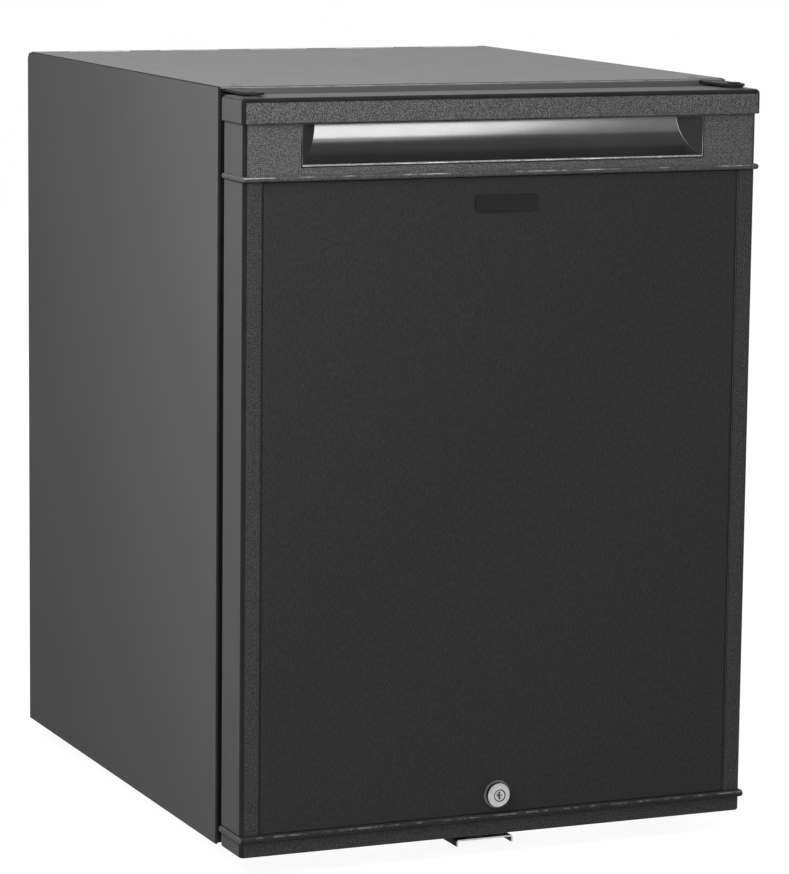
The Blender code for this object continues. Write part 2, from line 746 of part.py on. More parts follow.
def inner_liner():
    liner = block(
        "inner_liner",
        (-INNER_HALF - LINER_WALL, INNER_HALF + LINER_WALL),
        (LINER_FRONT, INNER_BACK + LINER_WALL),
        (INNER_BOTTOM - LINER_WALL, INNER_TOP + LINER_WALL),
        "white_plastic",
    )
    space = block(
        "inner_liner_space",
        (-INNER_HALF, INNER_HALF),
        (FRONT, INNER_BACK),
        (INNER_BOTTOM, INNER_TOP),
    )
    cut(liner, space)
    for level, shelf_z in (("lower", LOWER_SHELF_Z), ("upper", UPPER_SHELF_Z)):
        for side in (-1, 1):
            rib = block(
                f"inner_liner_rib_{level}_{side_name(side)}",
                (side * (INNER_HALF - RIB_SIZE), side * (INNER_HALF + LINER_WALL / 2)),
                (FRONT + SHELF_FRONT_INSET / 2, INNER_BACK + LINER_WALL / 2),
                (shelf_z - FIT - RIB_SIZE, shelf_z - FIT),
            )
            join(liner, rib)
    cut(liner, wall_passage("inner_liner_pipe_hole", 0, EVAPORATOR_PIPE_Z, PIPE_RADIUS + FIT))
    cut(liner, wall_passage("inner_liner_drain_hole", DRAIN_X, DRAIN_Z, DRAIN_RADIUS + FIT))


def foot(label, x, y, travelling):
    """A levelling foot: pad, neck and threaded stud."""
    neck_top = BASE_BOTTOM - FIT
    profile = [
        (FOOT_RADIUS - FOOT_ROUNDING, 0),
        (FOOT_RADIUS, FOOT_ROUNDING),
        (FOOT_RADIUS, FOOT_PAD_HEIGHT - FOOT_ROUNDING / 2),
        (FOOT_NECK_RADIUS, FOOT_PAD_HEIGHT),
        (FOOT_NECK_RADIUS, neck_top),
        (FOOT_STUD_RADIUS, neck_top),
        (FOOT_STUD_RADIUS, neck_top + FOOT_STUD_LENGTH),
    ]
    axis = add_empty(label + "_axis", (x, y, 0)) if travelling else None
    turned(label, profile, (x, y, 0), "Z", 20, "black_rubber", axis)


# Inside the compartment


def shelf(label, z):
    """A flat grid of bars inside a rim, drawn as one outline with its openings left out."""
    half = INNER_HALF - SHELF_SIDE_GAP
    back = INNER_BACK - FIT
    bars = [-half, -half + SHELF_RIM]
    pitch = (2 * half - 2 * SHELF_RIM) / (SHELF_BAR_COUNT + 1)
    for index in range(SHELF_BAR_COUNT):
        middle = -half + SHELF_RIM + pitch * (index + 1)
        bars += [middle - SHELF_BAR / 2, middle + SHELF_BAR / 2]
    bars += [half - SHELF_RIM, half]
    middle_y = (SHELF_FRONT + back) / 2
    depths = [
        SHELF_FRONT,
        SHELF_FRONT + SHELF_RIM,
        middle_y - SHELF_BAR / 2,
        middle_y + SHELF_BAR / 2,
        back - SHELF_RIM,
        back,
    ]
    axis = add_empty(label + "_axis", (0, SHELF_FRONT, z))
    bm = bmesh.new()
    grid = [[bm.verts.new((x, y, z)) for y in depths] for x in bars]
    faces = []
    for i in range(len(bars) - 1):
        for j in range(len(depths) - 1):
            if i % 2 == 0 or j % 2 == 0:
                corners = (grid[i][j], grid[i + 1][j], grid[i + 1][j + 1], grid[i][j + 1])
                faces.append(bm.faces.new(corners))
    lifted = bmesh.ops.extrude_face_region(bm, geom=faces)["geom"]
    rising = [v for v in lifted if isinstance(v, bmesh.types.BMVert)]
    bmesh.ops.translate(bm, verts=rising, vec=(0, 0, SHELF_THICKNESS))
    add_mesh(label, bm, "white_plastic", axis.location[:], axis)


def evaporator():
    """A finned block: a plate on the back wall with fins towards the door."""
    half = EVAPORATOR_WIDTH / 2
    root = EVAPORATOR_BACK - EVAPORATOR_PLATE
    pitch = (EVAPORATOR_WIDTH - FIN_THICKNESS) / (FIN_COUNT - 1)
    outline = [(half, EVAPORATOR_BACK), (-half, EVAPORATOR_BACK)]
    for index in range(FIN_COUNT):
        left = -half + pitch * index
        right = left + FIN_THICKNESS
        if index > 0:
            outline.append((left, root))
        outline += [(left, root - FIN_DEPTH), (right, root - FIN_DEPTH)]
        if index < FIN_COUNT - 1:
            outline.append((right, root))
    prism("evaporator_fins", outline, "Z", (EVAPORATOR_LOW, EVAPORATOR_TOP), "aluminium")


def gutter():
    half = EVAPORATOR_WIDTH / 2 + GUTTER_OVERHANG
    low = GUTTER_TOP - GUTTER_HEIGHT
    front = EVAPORATOR_BACK - GUTTER_DEPTH
    body = block("drip_gutter", (-half, half), (front, EVAPORATOR_BACK), (low, GUTTER_TOP), "white_plastic")
    space = block(
        "drip_gutter_space",
        (-half + CUP_WALL, half - CUP_WALL),
        (front + CUP_WALL, EVAPORATOR_BACK - CUP_WALL),
        (low + CUP_WALL, GUTTER_TOP + CUP_WALL),
    )
    cut(body, space)
    cut(body, drill("drip_gutter_hole", DRAIN_RADIUS + FIT, (DRAIN_X, EVAPORATOR_BACK, DRAIN_Z), "Y"))


def drain_parts():
    start = EVAPORATOR_BACK - CUP_WALL
    end = WALL_BACK + CUP_SIZE[1] / 2
    bore = DRAIN_RADIUS - LINER_WALL
    profile = [(DRAIN_RADIUS, 0), (DRAIN_RADIUS, end - start), (bore, end - start), (bore, 0)]
    turned("drain_tube", profile, (DRAIN_X, start, DRAIN_Z), "Y", 12, "white_plastic", bored=True)
    width, depth, height = CUP_SIZE
    high = DRAIN_Z - 3 * DRAIN_RADIUS
    front = WALL_BACK + FIT
    cup = block(
        "drip_cup",
        (DRAIN_X - width / 2, DRAIN_X + width / 2),
        (front, front + depth),
        (high - height, high),
        "black_plastic",
    )
    space = block(
        "drip_cup_space",
        (DRAIN_X - width / 2 + CUP_WALL, DRAIN_X + width / 2 - CUP_WALL),
        (front + CUP_WALL, front + depth - CUP_WALL),
        (high - height + CUP_WALL, high + CUP_WALL),
    )
    cut(cup, space)


def thermostat():
    width, depth, height = THERMOSTAT_SIZE
    right = INNER_HALF - FIT
    front = FRONT + FITTINGS_FRONT_INSET
    high = INNER_TOP - THERMOSTAT_DROP
    knob_place = (right - width / 2, front - FIT, high - height / 2)
    body = block(
        "thermostat_box",
        (right - width, right),
        (front, front + depth),
        (high - height, high),
        "white_plastic",
    )
    hole = turned(
        "thermostat_box_hole",
        [(SPINDLE_RADIUS + FIT, -DRILL_REACH), (SPINDLE_RADIUS + FIT, SPINDLE_LENGTH + SHEET_STEP)],
        knob_place,
        "Y",
        16,
    )
    cut(body, hole)
    axis = add_empty("thermostat_axis", knob_place)
    profile = [
        (KNOB_RADIUS - KNOB_ROUNDING, -KNOB_LENGTH),
        (KNOB_RADIUS, -KNOB_LENGTH + KNOB_ROUNDING),
        (KNOB_RADIUS, 0),
        (SPINDLE_RADIUS, 0),
        (SPINDLE_RADIUS, SPINDLE_LENGTH),
    ]
    turned("thermostat_knob", profile, knob_place, "Y", 20, "white_plastic", axis)


def lamp():
    width, depth, height = LAMP_SIZE
    front = FRONT + FITTINGS_FRONT_INSET
    high = INNER_TOP - FIT
    outline = [
        (front, high),
        (front + depth, high),
        (front + depth, high - height * 0.5),
        (front + depth * 0.8, high - height),
        (front + depth * 0.2, high - height),
        (front, high - height * 0.5),
    ]
    prism("lamp_cover", outline, "X", (-width / 2, width / 2), "clear_plastic")


# Hinges, lock strike and small plates on the cabinet


def arm_outline(start, radius, end):
    """Two corners joined round the pin, where the first side touches the round end."""
    away = Vector(start) - Vector((HINGE_X, HINGE_Y))
    touching = math.degrees(math.atan2(away.y, away.x) + math.acos(radius / away.length))
    return [start] + arc((HINGE_X, HINGE_Y), radius, touching, 360, 6) + [end]


def plate_outline(side):
    """Plan of a top hinge plate: a wide foot inside the cabinet and an arm with a round end at the pin."""
    outer = CABINET_WIDTH / 2 - SHEET - 2 * FIT
    wide = CABINET_WIDTH / 2 - HINGE_PLATE_WIDTH
    arm = CABINET_WIDTH / 2 - HINGE_ARM_INSET
    points = [(wide, FRONT + HINGE_PLATE_DEPTH), (wide, FRONT + SHEET_STEP), (arm, FRONT + SHEET_STEP)]
    arm_end = (HINGE_X + HINGE_ARM_RADIUS, FRONT - SHEET_STEP)
    points += arm_outline((arm, FRONT - SHEET_STEP), HINGE_ARM_RADIUS, arm_end)
    points += [(outer, FRONT + SHEET_STEP), (outer, FRONT + HINGE_PLATE_DEPTH)]
    return [(side * x, y) for x, y in points]


def top_plates():
    for side, label in ((-1, "spare_hinge_plate_left"), (1, "hinge_plate_top")):
        plate = prism(label, plate_outline(side), "Z", (TOP_PLATE_LOW, TOP_PLATE_HIGH), "hinge_steel")
        screw_x = side * (CABINET_WIDTH / 2 - SCREW_SIDE_INSET)
        screw_y = FRONT + SCREW_FRONT_INSET
        shank = SCREW_SHANK_RADIUS + FIT
        pin_place = (side * HINGE_X, HINGE_Y, TOP_PLATE_LOW)
        cut(plate, drill(label + "_screw_hole", shank, (screw_x, screw_y, TOP_PLATE_LOW), "Z", 12))
        cut(plate, drill(label + "_pin_hole", PIN_RADIUS + FIT, pin_place, "Z"))
        head_low = TOP_PLATE_HIGH + FIT
        profile = [
            (SCREW_SHANK_RADIUS, head_low - SCREW_SHANK_LENGTH),
            (SCREW_SHANK_RADIUS, head_low),
            (SCREW_HEAD_RADIUS, head_low),
            (SCREW_HEAD_RADIUS, TOP - FIT),
        ]
        turned("top_screw_" + side_name(side), profile, (screw_x, screw_y, 0), "Z", 16, "hinge_steel")


def hinge_pins():
    head_high = TOP - FIT
    top_profile = [
        (PIN_RADIUS, DOOR_TOP - PIN_LENGTH),
        (PIN_RADIUS, TOP_PLATE_HIGH + FIT),
        (PIN_HEAD_RADIUS, TOP_PLATE_HIGH + FIT),
        (PIN_HEAD_RADIUS, head_high),
    ]
    turned("hinge_pin_top", top_profile, (HINGE_X, HINGE_Y, 0), "Z", 24, "hinge_steel")
    low_profile = [(PIN_RADIUS, LOWER_PLATE_LOW), (PIN_RADIUS, DOOR_BOTTOM + PIN_LENGTH)]
    turned("hinge_pin_bottom", low_profile, (HINGE_X, HINGE_Y, 0), "Z", 24, "hinge_steel")


def lower_hinge_plate():
    outer = CABINET_WIDTH / 2 - SHEET - 2 * FIT
    wide = CABINET_WIDTH / 2 - LOWER_PLATE_WIDTH
    back = FRONT + LOWER_PLATE_DEPTH
    shoulder = FRONT + 2 * SHEET_STEP
    points = [(wide, back)]
    points += arm_outline((wide, shoulder), LOWER_ARM_RADIUS, (HINGE_X + LOWER_ARM_RADIUS, FRONT))
    points += [(outer, shoulder), (outer, back)]
    plate = prism("hinge_plate_bottom", points, "Z", (LOWER_PLATE_LOW, LOWER_PLATE_HIGH), "hinge_steel")
    pin_place = (HINGE_X, HINGE_Y, LOWER_PLATE_LOW)
    cut(plate, drill("hinge_plate_bottom_pin_hole", PIN_RADIUS + FIT, pin_place, "Z"))


def cam_reach(depth):
    """How far to the side the turning cam gets at a depth under its axis."""
    return math.sqrt(CAM_LENGTH**2 - depth**2)


def strike_bracket():
    """A folded channel under the door, stepped up to the base panel, with a slot for the lock's cam."""
    half = STRIKE_WIDTH / 2
    high = BOTTOM - STRIKE_DROP
    low = high - STRIKE_THICKNESS
    foot_high = BASE_BOTTOM - FIT
    foot_low = foot_high - STRIKE_THICKNESS
    step = FRONT + SHEET_STEP
    outline = [
        (STRIKE_FRONT, low),
        (step + STRIKE_THICKNESS, low),
        (step + STRIKE_THICKNESS, foot_low),
        (step + STRIKE_FOOT, foot_low),
        (step + STRIKE_FOOT, foot_high),
        (step, foot_high),
        (step, high),
        (STRIKE_FRONT, high),
    ]
    bracket = prism("strike_bracket", outline, "X", (-half, half), "galvanised")
    for side in (-1, 1):
        flange = block(
            "strike_bracket_flange_" + side_name(side),
            (side * half, side * (half - STRIKE_THICKNESS)),
            (STRIKE_FRONT, step + STRIKE_THICKNESS),
            (BOTTOM - STRIKE_FLANGE_DROP, high),
        )
        join(bracket, flange)
    middle = (CAM_FRONT + CAM_BACK) / 2
    slot = block(
        "strike_bracket_slot",
        (-cam_reach(LOCK_Z - high) - STRIKE_SLOT_MARGIN, CAM_WIDTH / 2 + STRIKE_SLOT_MARGIN),
        (middle - STRIKE_SLOT_DEPTH / 2, middle + STRIKE_SLOT_DEPTH / 2),
        (low - SHEET, high + SHEET),
    )
    cut(bracket, slot)


# Door


def door_stile(side, door):
    outer = CABINET_WIDTH / 2
    inner = outer - STILE_WIDTH
    wall = outer - PROFILE_WALL
    back_fold = DOOR_BACK - PROFILE_WALL
    points = [
        (outer, DOOR_FRONT + STILE_CHAMFER),
        (outer - STILE_CHAMFER, DOOR_FRONT),
        (inner, DOOR_FRONT),
        (inner, SKIN_BACK),
        (wall - STILE_CHAMFER / 2, SKIN_BACK),
        (wall, SKIN_BACK + STILE_CHAMFER / 2),
        (wall, back_fold),
        (inner, back_fold),
        (inner, DOOR_BACK),
        (outer, DOOR_BACK),
    ]
    outline = [(side * x, y) for x, y in points]
    prism(
        "door_stile_" + side_name(side),
        outline,
        "Z",
        (PANEL_BOTTOM + FIT, PANEL_TOP - FIT),
        "grained_plastic",
        door,
    )


def door_panel(door):
    half = CABINET_WIDTH / 2 - STILE_WIDTH - PANEL_GROOVE
    panel = block(
        "door_panel",
        (-half, half),
        (PANEL_FACE, SKIN_BACK),
        (PANEL_BOTTOM + FIT, PANEL_TOP - FIT),
        "door_skin",
        door,
    )
    lock_place = (0, PANEL_FACE, LOCK_Z)
    cut(panel, drill("door_panel_lock_hole", LOCK_BARREL_RADIUS + FIT, lock_place, "Y", 24, door))
    half = BADGE_LENGTH / 2
    low = PANEL_TOP - BADGE_DROP - BADGE_HEIGHT / 2
    outline = rounded_rectangle(-half, half, low, low + BADGE_HEIGHT, BADGE_CORNER)
    span = (PANEL_FACE - FIT - BADGE_THICKNESS, PANEL_FACE - FIT)
    prism("badge_plate", outline, "Y", span, "gloss_black", door)


def bush_hole(label, z, door):
    return drill(label, BUSH_RADIUS + FIT, (HINGE_X, HINGE_Y, z), "Z", parent=door)


def handle_profile(door):
    half = CABINET_WIDTH / 2
    wide = half + BEAD_OVERHANG
    proud = DOOR_FRONT - BEAD_PROUD
    body = block(
        "handle_profile",
        (-half, half),
        (DOOR_FRONT, DOOR_BACK),
        (PANEL_TOP, DOOR_TOP),
        "grained_plastic",
        door,
    )
    lip_span = (LIP_BOTTOM, DOOR_TOP)
    bead_span = (PANEL_TOP, HANDLE_BEAD_TOP)
    lip = block("handle_profile_lip", (-wide, wide), (proud, DOOR_BACK), lip_span, parent=door)
    bead = block("handle_profile_bead", (-wide, wide), (proud, DOOR_BACK), bead_span, parent=door)
    hollow = block(
        "handle_profile_hollow",
        (-half + PROFILE_WALL, half - PROFILE_WALL),
        (SKIN_BACK, DOOR_BACK - PROFILE_WALL),
        (PANEL_TOP - SHEET, DOOR_TOP - PROFILE_WALL),
        parent=door,
    )
    window = block(
        "handle_profile_window",
        (-RECESS_LENGTH / 2 - SCOOP_WALL - FIT, RECESS_LENGTH / 2 + SCOOP_WALL + FIT),
        (proud - SHEET, SKIN_BACK + SHEET),
        (RECESS_BOTTOM - SCOOP_WALL - FIT, LIP_BOTTOM),
        parent=door,
    )
    join(body, lip)
    join(body, bead)
    cut(body, hollow)
    cut(body, window)
    cut(body, bush_hole("handle_profile_bush_hole", DOOR_TOP, door))


def handle_scoop(door):
    """The finger recess: a box whose front holds a trough with a round floor and 45 degree end walls."""
    half = RECESS_LENGTH / 2
    outer = half + SCOOP_WALL
    body = block(
        "handle_scoop",
        (-outer, outer),
        (DOOR_FRONT, DOOR_FRONT + RECESS_DEPTH + 2 * SCOOP_WALL),
        (RECESS_BOTTOM - SCOOP_WALL, RECESS_TOP + SCOOP_WALL - FIT),
        "gloss_black",
        door,
    )
    radius = (RECESS_DEPTH**2 + RECESS_HEIGHT**2) / (2 * RECESS_DEPTH)
    sweep = math.degrees(math.asin(RECESS_HEIGHT / radius))
    section = arc((RECESS_DEPTH - radius, RECESS_TOP), radius, -sweep, 0, SCOOP_ARC_STEPS)
    section += [(-SHEET, RECESS_TOP), (-SHEET, RECESS_BOTTOM)]
    bm = bmesh.new()
    ends = []
    for side in (-1, 1):
        ends.append([bm.verts.new((side * (half - depth), DOOR_FRONT + depth, z)) for depth, z in section])
    for end in ends:
        bm.faces.new(end)
    for step in range(len(section)):
        after = (step + 1) % len(section)
        bm.faces.new((ends[0][step], ends[0][after], ends[1][after], ends[1][step]))
    trough = add_mesh("handle_scoop_trough", bm, None, parent_place(door), door)
    cut(body, trough)


def bottom_profile(door):
    half = CABINET_WIDTH / 2
    wide = half + BEAD_OVERHANG
    proud = DOOR_FRONT - BEAD_PROUD
    body = block(
        "door_bottom_profile",
        (-half, half),
        (DOOR_FRONT, DOOR_BACK),
        (DOOR_BOTTOM, PANEL_BOTTOM),
        "grained_plastic",
        door,
    )
    bead = block(
        "door_bottom_profile_bead",
        (-wide, wide),
        (proud, DOOR_BACK),
        (BOTTOM_BEAD_LOW, PANEL_BOTTOM),
        parent=door,
    )
    hollow = block(
        "door_bottom_profile_hollow",
        (-half + PROFILE_WALL, half - PROFILE_WALL),
        (SKIN_BACK, DOOR_BACK - PROFILE_WALL),
        (DOOR_BOTTOM + PROFILE_WALL, PANEL_BOTTOM + SHEET),
        parent=door,
    )
    cam_side = cam_reach(LOCK_Z - DOOR_BOTTOM - PROFILE_WALL)
    slot = block(
        "door_bottom_profile_cam_slot",
        (-cam_side - CAM_SLOT_MARGIN, CAM_WIDTH / 2 + CAM_SLOT_MARGIN),
        (CAM_FRONT - CAM_SLOT_MARGIN, CAM_BACK + CAM_SLOT_MARGIN),
        (DOOR_BOTTOM - SHEET, DOOR_BOTTOM + 2 * PROFILE_WALL),
        parent=door,
    )
    join(body, bead)
    cut(body, hollow)
    cut(body, slot)
    cut(body, bush_hole("door_bottom_profile_bush_hole", DOOR_BOTTOM, door))


def door_foam(door):
    half = CABINET_WIDTH / 2 - PROFILE_WALL - FIT
    foam = block(
        "door_foam",
        (-half, half),
        (SKIN_BACK + FIT, DOOR_BACK - PROFILE_WALL - FIT),
        (PANEL_BOTTOM + FIT, PANEL_TOP - FIT),
        "foam",
        door,
    )
    nut_reach = nut_corner_radius() + LOCK_POCKET_MARGIN
    pocket = block(
        "door_foam_lock_pocket",
        (-CAM_LENGTH - LOCK_POCKET_MARGIN, nut_reach),
        (DOOR_FRONT, CAM_BACK + LOCK_POCKET_MARGIN),
        (PANEL_BOTTOM - SHEET, LOCK_Z + nut_reach),
        parent=door,
    )
    chamfers = []
    for side in (-1, 1):
        outer = side * (half + FIT)
        inward = -side * STILE_CHAMFER / 2
        chamfers.append(
            prism(
                "door_foam_chamfer_" + side_name(side),
                [
                    (outer + 2 * inward, SKIN_BACK - FIT),
                    (outer - inward, SKIN_BACK - FIT),
                    (outer - inward, SKIN_BACK + 3 * FIT + STILE_CHAMFER),
                    (outer, SKIN_BACK + 3 * FIT + STILE_CHAMFER / 2),
                    (outer + 2 * inward, SKIN_BACK + FIT / 2),
                ],
                "Z",
                (PANEL_BOTTOM - SHEET, PANEL_TOP + SHEET),
                parent=door,
            )
        )
    cut(foam, pocket)
    for chamfer in chamfers:
        cut(foam, chamfer)


def door_liner(door):
    half = CABINET_WIDTH / 2 - STILE_WIDTH - FIT
    plate = block(
        "door_liner",
        (-half, half),
        (DOOR_BACK - PROFILE_WALL, DOOR_BACK),
        (PANEL_BOTTOM + FIT, PANEL_TOP - FIT),
        "white_plastic",
        door,
    )
    inner = DYKE_HALF_WIDTH - DYKE_WIDTH
    dyke = frame_ring(
        "door_liner_dyke",
        (-DYKE_HALF_WIDTH, DYKE_HALF_WIDTH, DYKE_BOTTOM, DYKE_TOP),
        (-inner, inner, DYKE_BOTTOM + DYKE_WIDTH, DYKE_TOP - DYKE_WIDTH),
        (DOOR_BACK - PROFILE_WALL / 2, DOOR_BACK + DYKE_DEPTH),
        parent=door,
    )
    join(plate, dyke)
    for level, rack_z in (("lower", LOWER_RACK_Z), ("upper", UPPER_RACK_Z)):
        for side in (-1, 1):
            lug = block(
                f"door_liner_lug_{level}_{side_name(side)}",
                (side * (inner - LUG_SIZE), side * (inner + DYKE_WIDTH / 2)),
                (DOOR_BACK - PROFILE_WALL / 2, DOOR_BACK + DYKE_DEPTH * 0.8),
                (rack_z - FIT - LUG_SIZE, rack_z - FIT),
                parent=door,
            )
            join(plate, lug)


def door_rack(label, low, height, door):
    axis = add_empty(label + "_axis", (0, DOOR_BACK, low))
    axis.parent = door
    axis.location = axis.location - door.location
    front = DOOR_BACK + FIT
    origin = (0, DOOR_BACK, low)
    outer = block_mesh((-RACK_HALF, RACK_HALF), (front, RACK_BACK), (low, low + height))
    space = block_mesh(
        (-RACK_HALF + RACK_WALL, RACK_HALF - RACK_WALL),
        (front + RACK_WALL, RACK_BACK - RACK_WALL),
        (low + RACK_WALL, low + height + RACK_WALL),
    )
    rack = add_mesh(label, outer, "clear_plastic", origin)
    hollow = add_mesh(label + "_hollow", space, None, origin)
    for thing in (rack, hollow):
        thing.parent = axis
        thing.location = (0, 0, 0)
    cut(rack, hollow)


def door_gasket(door):
    outer = CABINET_WIDTH / 2 - GASKET_INSET
    inner = outer - GASKET_WIDTH
    low = DOOR_BOTTOM + GASKET_INSET
    high = DOOR_TOP - GASKET_INSET
    frame_ring(
        "door_gasket",
        (-outer, outer, low, high),
        (-inner, inner, low + GASKET_WIDTH, high - GASKET_WIDTH),
        (DOOR_BACK + FIT, FRONT - FIT),
        "black_rubber",
        door,
    )


def hinge_bushes(door):
    bore = PIN_RADIUS + RUNNING_CLEARANCE
    flange_low = DOOR_TOP + FIT
    flange_high = TOP_PLATE_LOW - FIT
    deep = DOOR_TOP - PIN_LENGTH + BUSH_FLANGE
    centre = (HINGE_X, HINGE_Y, 0)
    top_profile = [
        (bore, flange_high),
        (BUSH_FLANGE_RADIUS, flange_high),
        (BUSH_FLANGE_RADIUS, flange_low),
        (BUSH_RADIUS, flange_low),
        (BUSH_RADIUS, deep),
        (bore, deep),
    ]
    turned("hinge_bush_top", top_profile, centre, "Z", 24, "white_plastic", door, bored=True)
    web_top = DOOR_BOTTOM + PROFILE_WALL + FIT
    high = DOOR_BOTTOM + PIN_LENGTH - BUSH_FLANGE
    low_profile = [
        (bore, DOOR_BOTTOM),
        (BUSH_RADIUS, DOOR_BOTTOM),
        (BUSH_RADIUS, web_top),
        (BUSH_FLANGE_RADIUS, web_top),
        (BUSH_FLANGE_RADIUS, web_top + BUSH_FLANGE),
        (BUSH_RADIUS, web_top + BUSH_FLANGE),
        (BUSH_RADIUS, high),
        (bore, high),
    ]
    turned("hinge_bush_bottom", low_profile, centre, "Z", 24, "white_plastic", door, bored=True)


def nut_corner_radius():
    return (LOCK_BARREL_RADIUS + LOCK_NUT_WALL) / math.cos(math.radians(30))


def lock(door):
    centre = (0, PANEL_FACE, LOCK_Z)
    bore = LOCK_PLUG_RADIUS + FIT
    housing = [
        (bore, -LOCK_PROUD),
        (LOCK_FACE_RADIUS - LOCK_BEVEL, -LOCK_PROUD),
        (LOCK_FACE_RADIUS, -LOCK_PROUD + LOCK_BEVEL),
        (LOCK_FACE_RADIUS, -LOCK_RING_HEIGHT - FIT),
        (LOCK_RING_RADIUS, -LOCK_RING_HEIGHT),
        (LOCK_RING_RADIUS, -FIT),
        (LOCK_BARREL_RADIUS, -FIT),
        (LOCK_BARREL_RADIUS, LOCK_BARREL_LENGTH),
        (bore, LOCK_BARREL_LENGTH),
    ]
    turned("lock_housing", housing, centre, "Y", 28, "chrome", door, bored=True)

    nut_front = SKIN_BACK + FIT - PANEL_FACE
    nut = turned(
        "lock_nut",
        [(nut_corner_radius(), nut_front), (nut_corner_radius(), nut_front + LOCK_NUT_THICKNESS)],
        centre,
        "Y",
        6,
        "brass",
        door,
    )
    nut_hole = turned(
        "lock_nut_hole",
        [(LOCK_BARREL_RADIUS + FIT, 0), (LOCK_BARREL_RADIUS + FIT, 3 * LOCK_NUT_THICKNESS)],
        centre,
        "Y",
        28,
        parent=door,
    )
    cut(nut, nut_hole)

    axis = add_empty("lock_axis", centre)
    axis.parent = door
    axis.location = Vector(centre) - door.location
    tail = LOCK_PLUG_RADIUS * 0.75
    cam_gap = CAM_FRONT - PANEL_FACE - FIT
    cylinder_profile = [
        (LOCK_PLUG_RADIUS, -LOCK_PROUD + FIT),
        (LOCK_PLUG_RADIUS, cam_gap),
        (tail, cam_gap),
        (tail, cam_gap + CAM_THICKNESS + PLUG_TAIL),
    ]
    cylinder = turned("lock_cylinder", cylinder_profile, centre, "Y", 24, "chrome")
    keyway = block(
        "lock_cylinder_keyway",
        (-KEYWAY_WIDTH / 2, KEYWAY_WIDTH / 2),
        (PANEL_FACE - LOCK_PROUD - SHEET, PANEL_FACE + SHEET),
        (LOCK_Z - LOCK_PLUG_RADIUS * 0.7, LOCK_Z + LOCK_PLUG_RADIUS * 0.7),
    )
    cut(cylinder, keyway)
    half = CAM_WIDTH / 2
    outline = arc((0, LOCK_Z), half, -90, 90, 6)
    outline += arc((-CAM_LENGTH + half, LOCK_Z), half, 90, 270, 6)
    cam = prism("lock_cam", outline, "Y", (CAM_FRONT, CAM_BACK), "galvanised")
    cam_hole = turned(
        "lock_cam_hole",
        [(tail + FIT, CAM_FRONT - PANEL_FACE - SHEET), (tail + FIT, CAM_BACK - PANEL_FACE + SHEET)],
        centre,
        "Y",
        16,
    )
    cut(cam, cam_hole)
    for thing in (cylinder, keyway, cam, cam_hole):
        set_origin(thing, centre, axis)


def set_origin(thing, place, parent):
    """Moves a mesh object's origin to a place in world space and hangs it on an empty there."""
    for vert in thing.data.vertices:
        vert.co = vert.co + thing.location - Vector(place)
    thing.parent = parent
    thing.location = (0, 0, 0)


def door_assembly():
    door = add_empty("door_hinge_axis", (HINGE_X, HINGE_Y, 0))
    handle_profile(door)
    handle_scoop(door)
    door_panel(door)
    for side in (-1, 1):
        door_stile(side, door)
    bottom_profile(door)
    door_foam(door)
    door_liner(door)
    door_gasket(door)
    door_rack("door_rack_lower", LOWER_RACK_Z, LOWER_RACK_HEIGHT, door)
    door_rack("door_rack_upper", UPPER_RACK_Z, UPPER_RACK_HEIGHT, door)
    hinge_bushes(door)
    lock(door)


# Absorption unit


def condenser():
    tube = CONDENSER_TUBE_RADIUS
    pitch = CONDENSER_LENGTH / CONDENSER_FINS
    profile = [(tube, CONDENSER_LEFT)]
    for index in range(CONDENSER_FINS):
        left = CONDENSER_LEFT + pitch * (index + 0.5) - CONDENSER_FIN_THICKNESS / 2
        right = left + CONDENSER_FIN_THICKNESS
        profile += [(tube, left), (CONDENSER_FIN_RADIUS, left), (CONDENSER_FIN_RADIUS, right), (tube, right)]
    profile.append((tube, CONDENSER_RIGHT))
    turned("condenser", profile, (0, UNIT_Y, CONDENSER_Z), "X", 12, "unit_paint")


def boiler():
    jacket_top = JACKET_BOTTOM + JACKET_HEIGHT
    profile = [
        (JACKET_RADIUS, JACKET_BOTTOM),
        (JACKET_RADIUS, jacket_top),
        (JACKET_BORE, jacket_top),
        (JACKET_BORE, JACKET_BOTTOM),
    ]
    turned("boiler_jacket", profile, (JACKET_X, UNIT_Y, 0), "Z", 24, "galvanised", bored=True)
    low = LOWER_BRACKET_TOP - BRACKET_THICKNESS - BOILER_TAIL
    route = [
        (BOILER_TUBE_X, UNIT_Y, low),
        (BOILER_TUBE_X, UNIT_Y, CONDENSER_Z),
        (CONDENSER_RIGHT + FIT, UNIT_Y, CONDENSER_Z),
    ]
    pipe("boiler_tube", bent_route(route, BEND_RADIUS), BOILER_TUBE_RADIUS, "unit_paint", 2)
    heater_low = JACKET_BOTTOM + HEATER_RISE
    turned(
        "heater_cartridge",
        [(HEATER_RADIUS, heater_low), (HEATER_RADIUS, heater_low + HEATER_LENGTH)],
        (HEATER_X, UNIT_Y, 0),
        "Z",
        16,
        "chrome",
    )
    return low


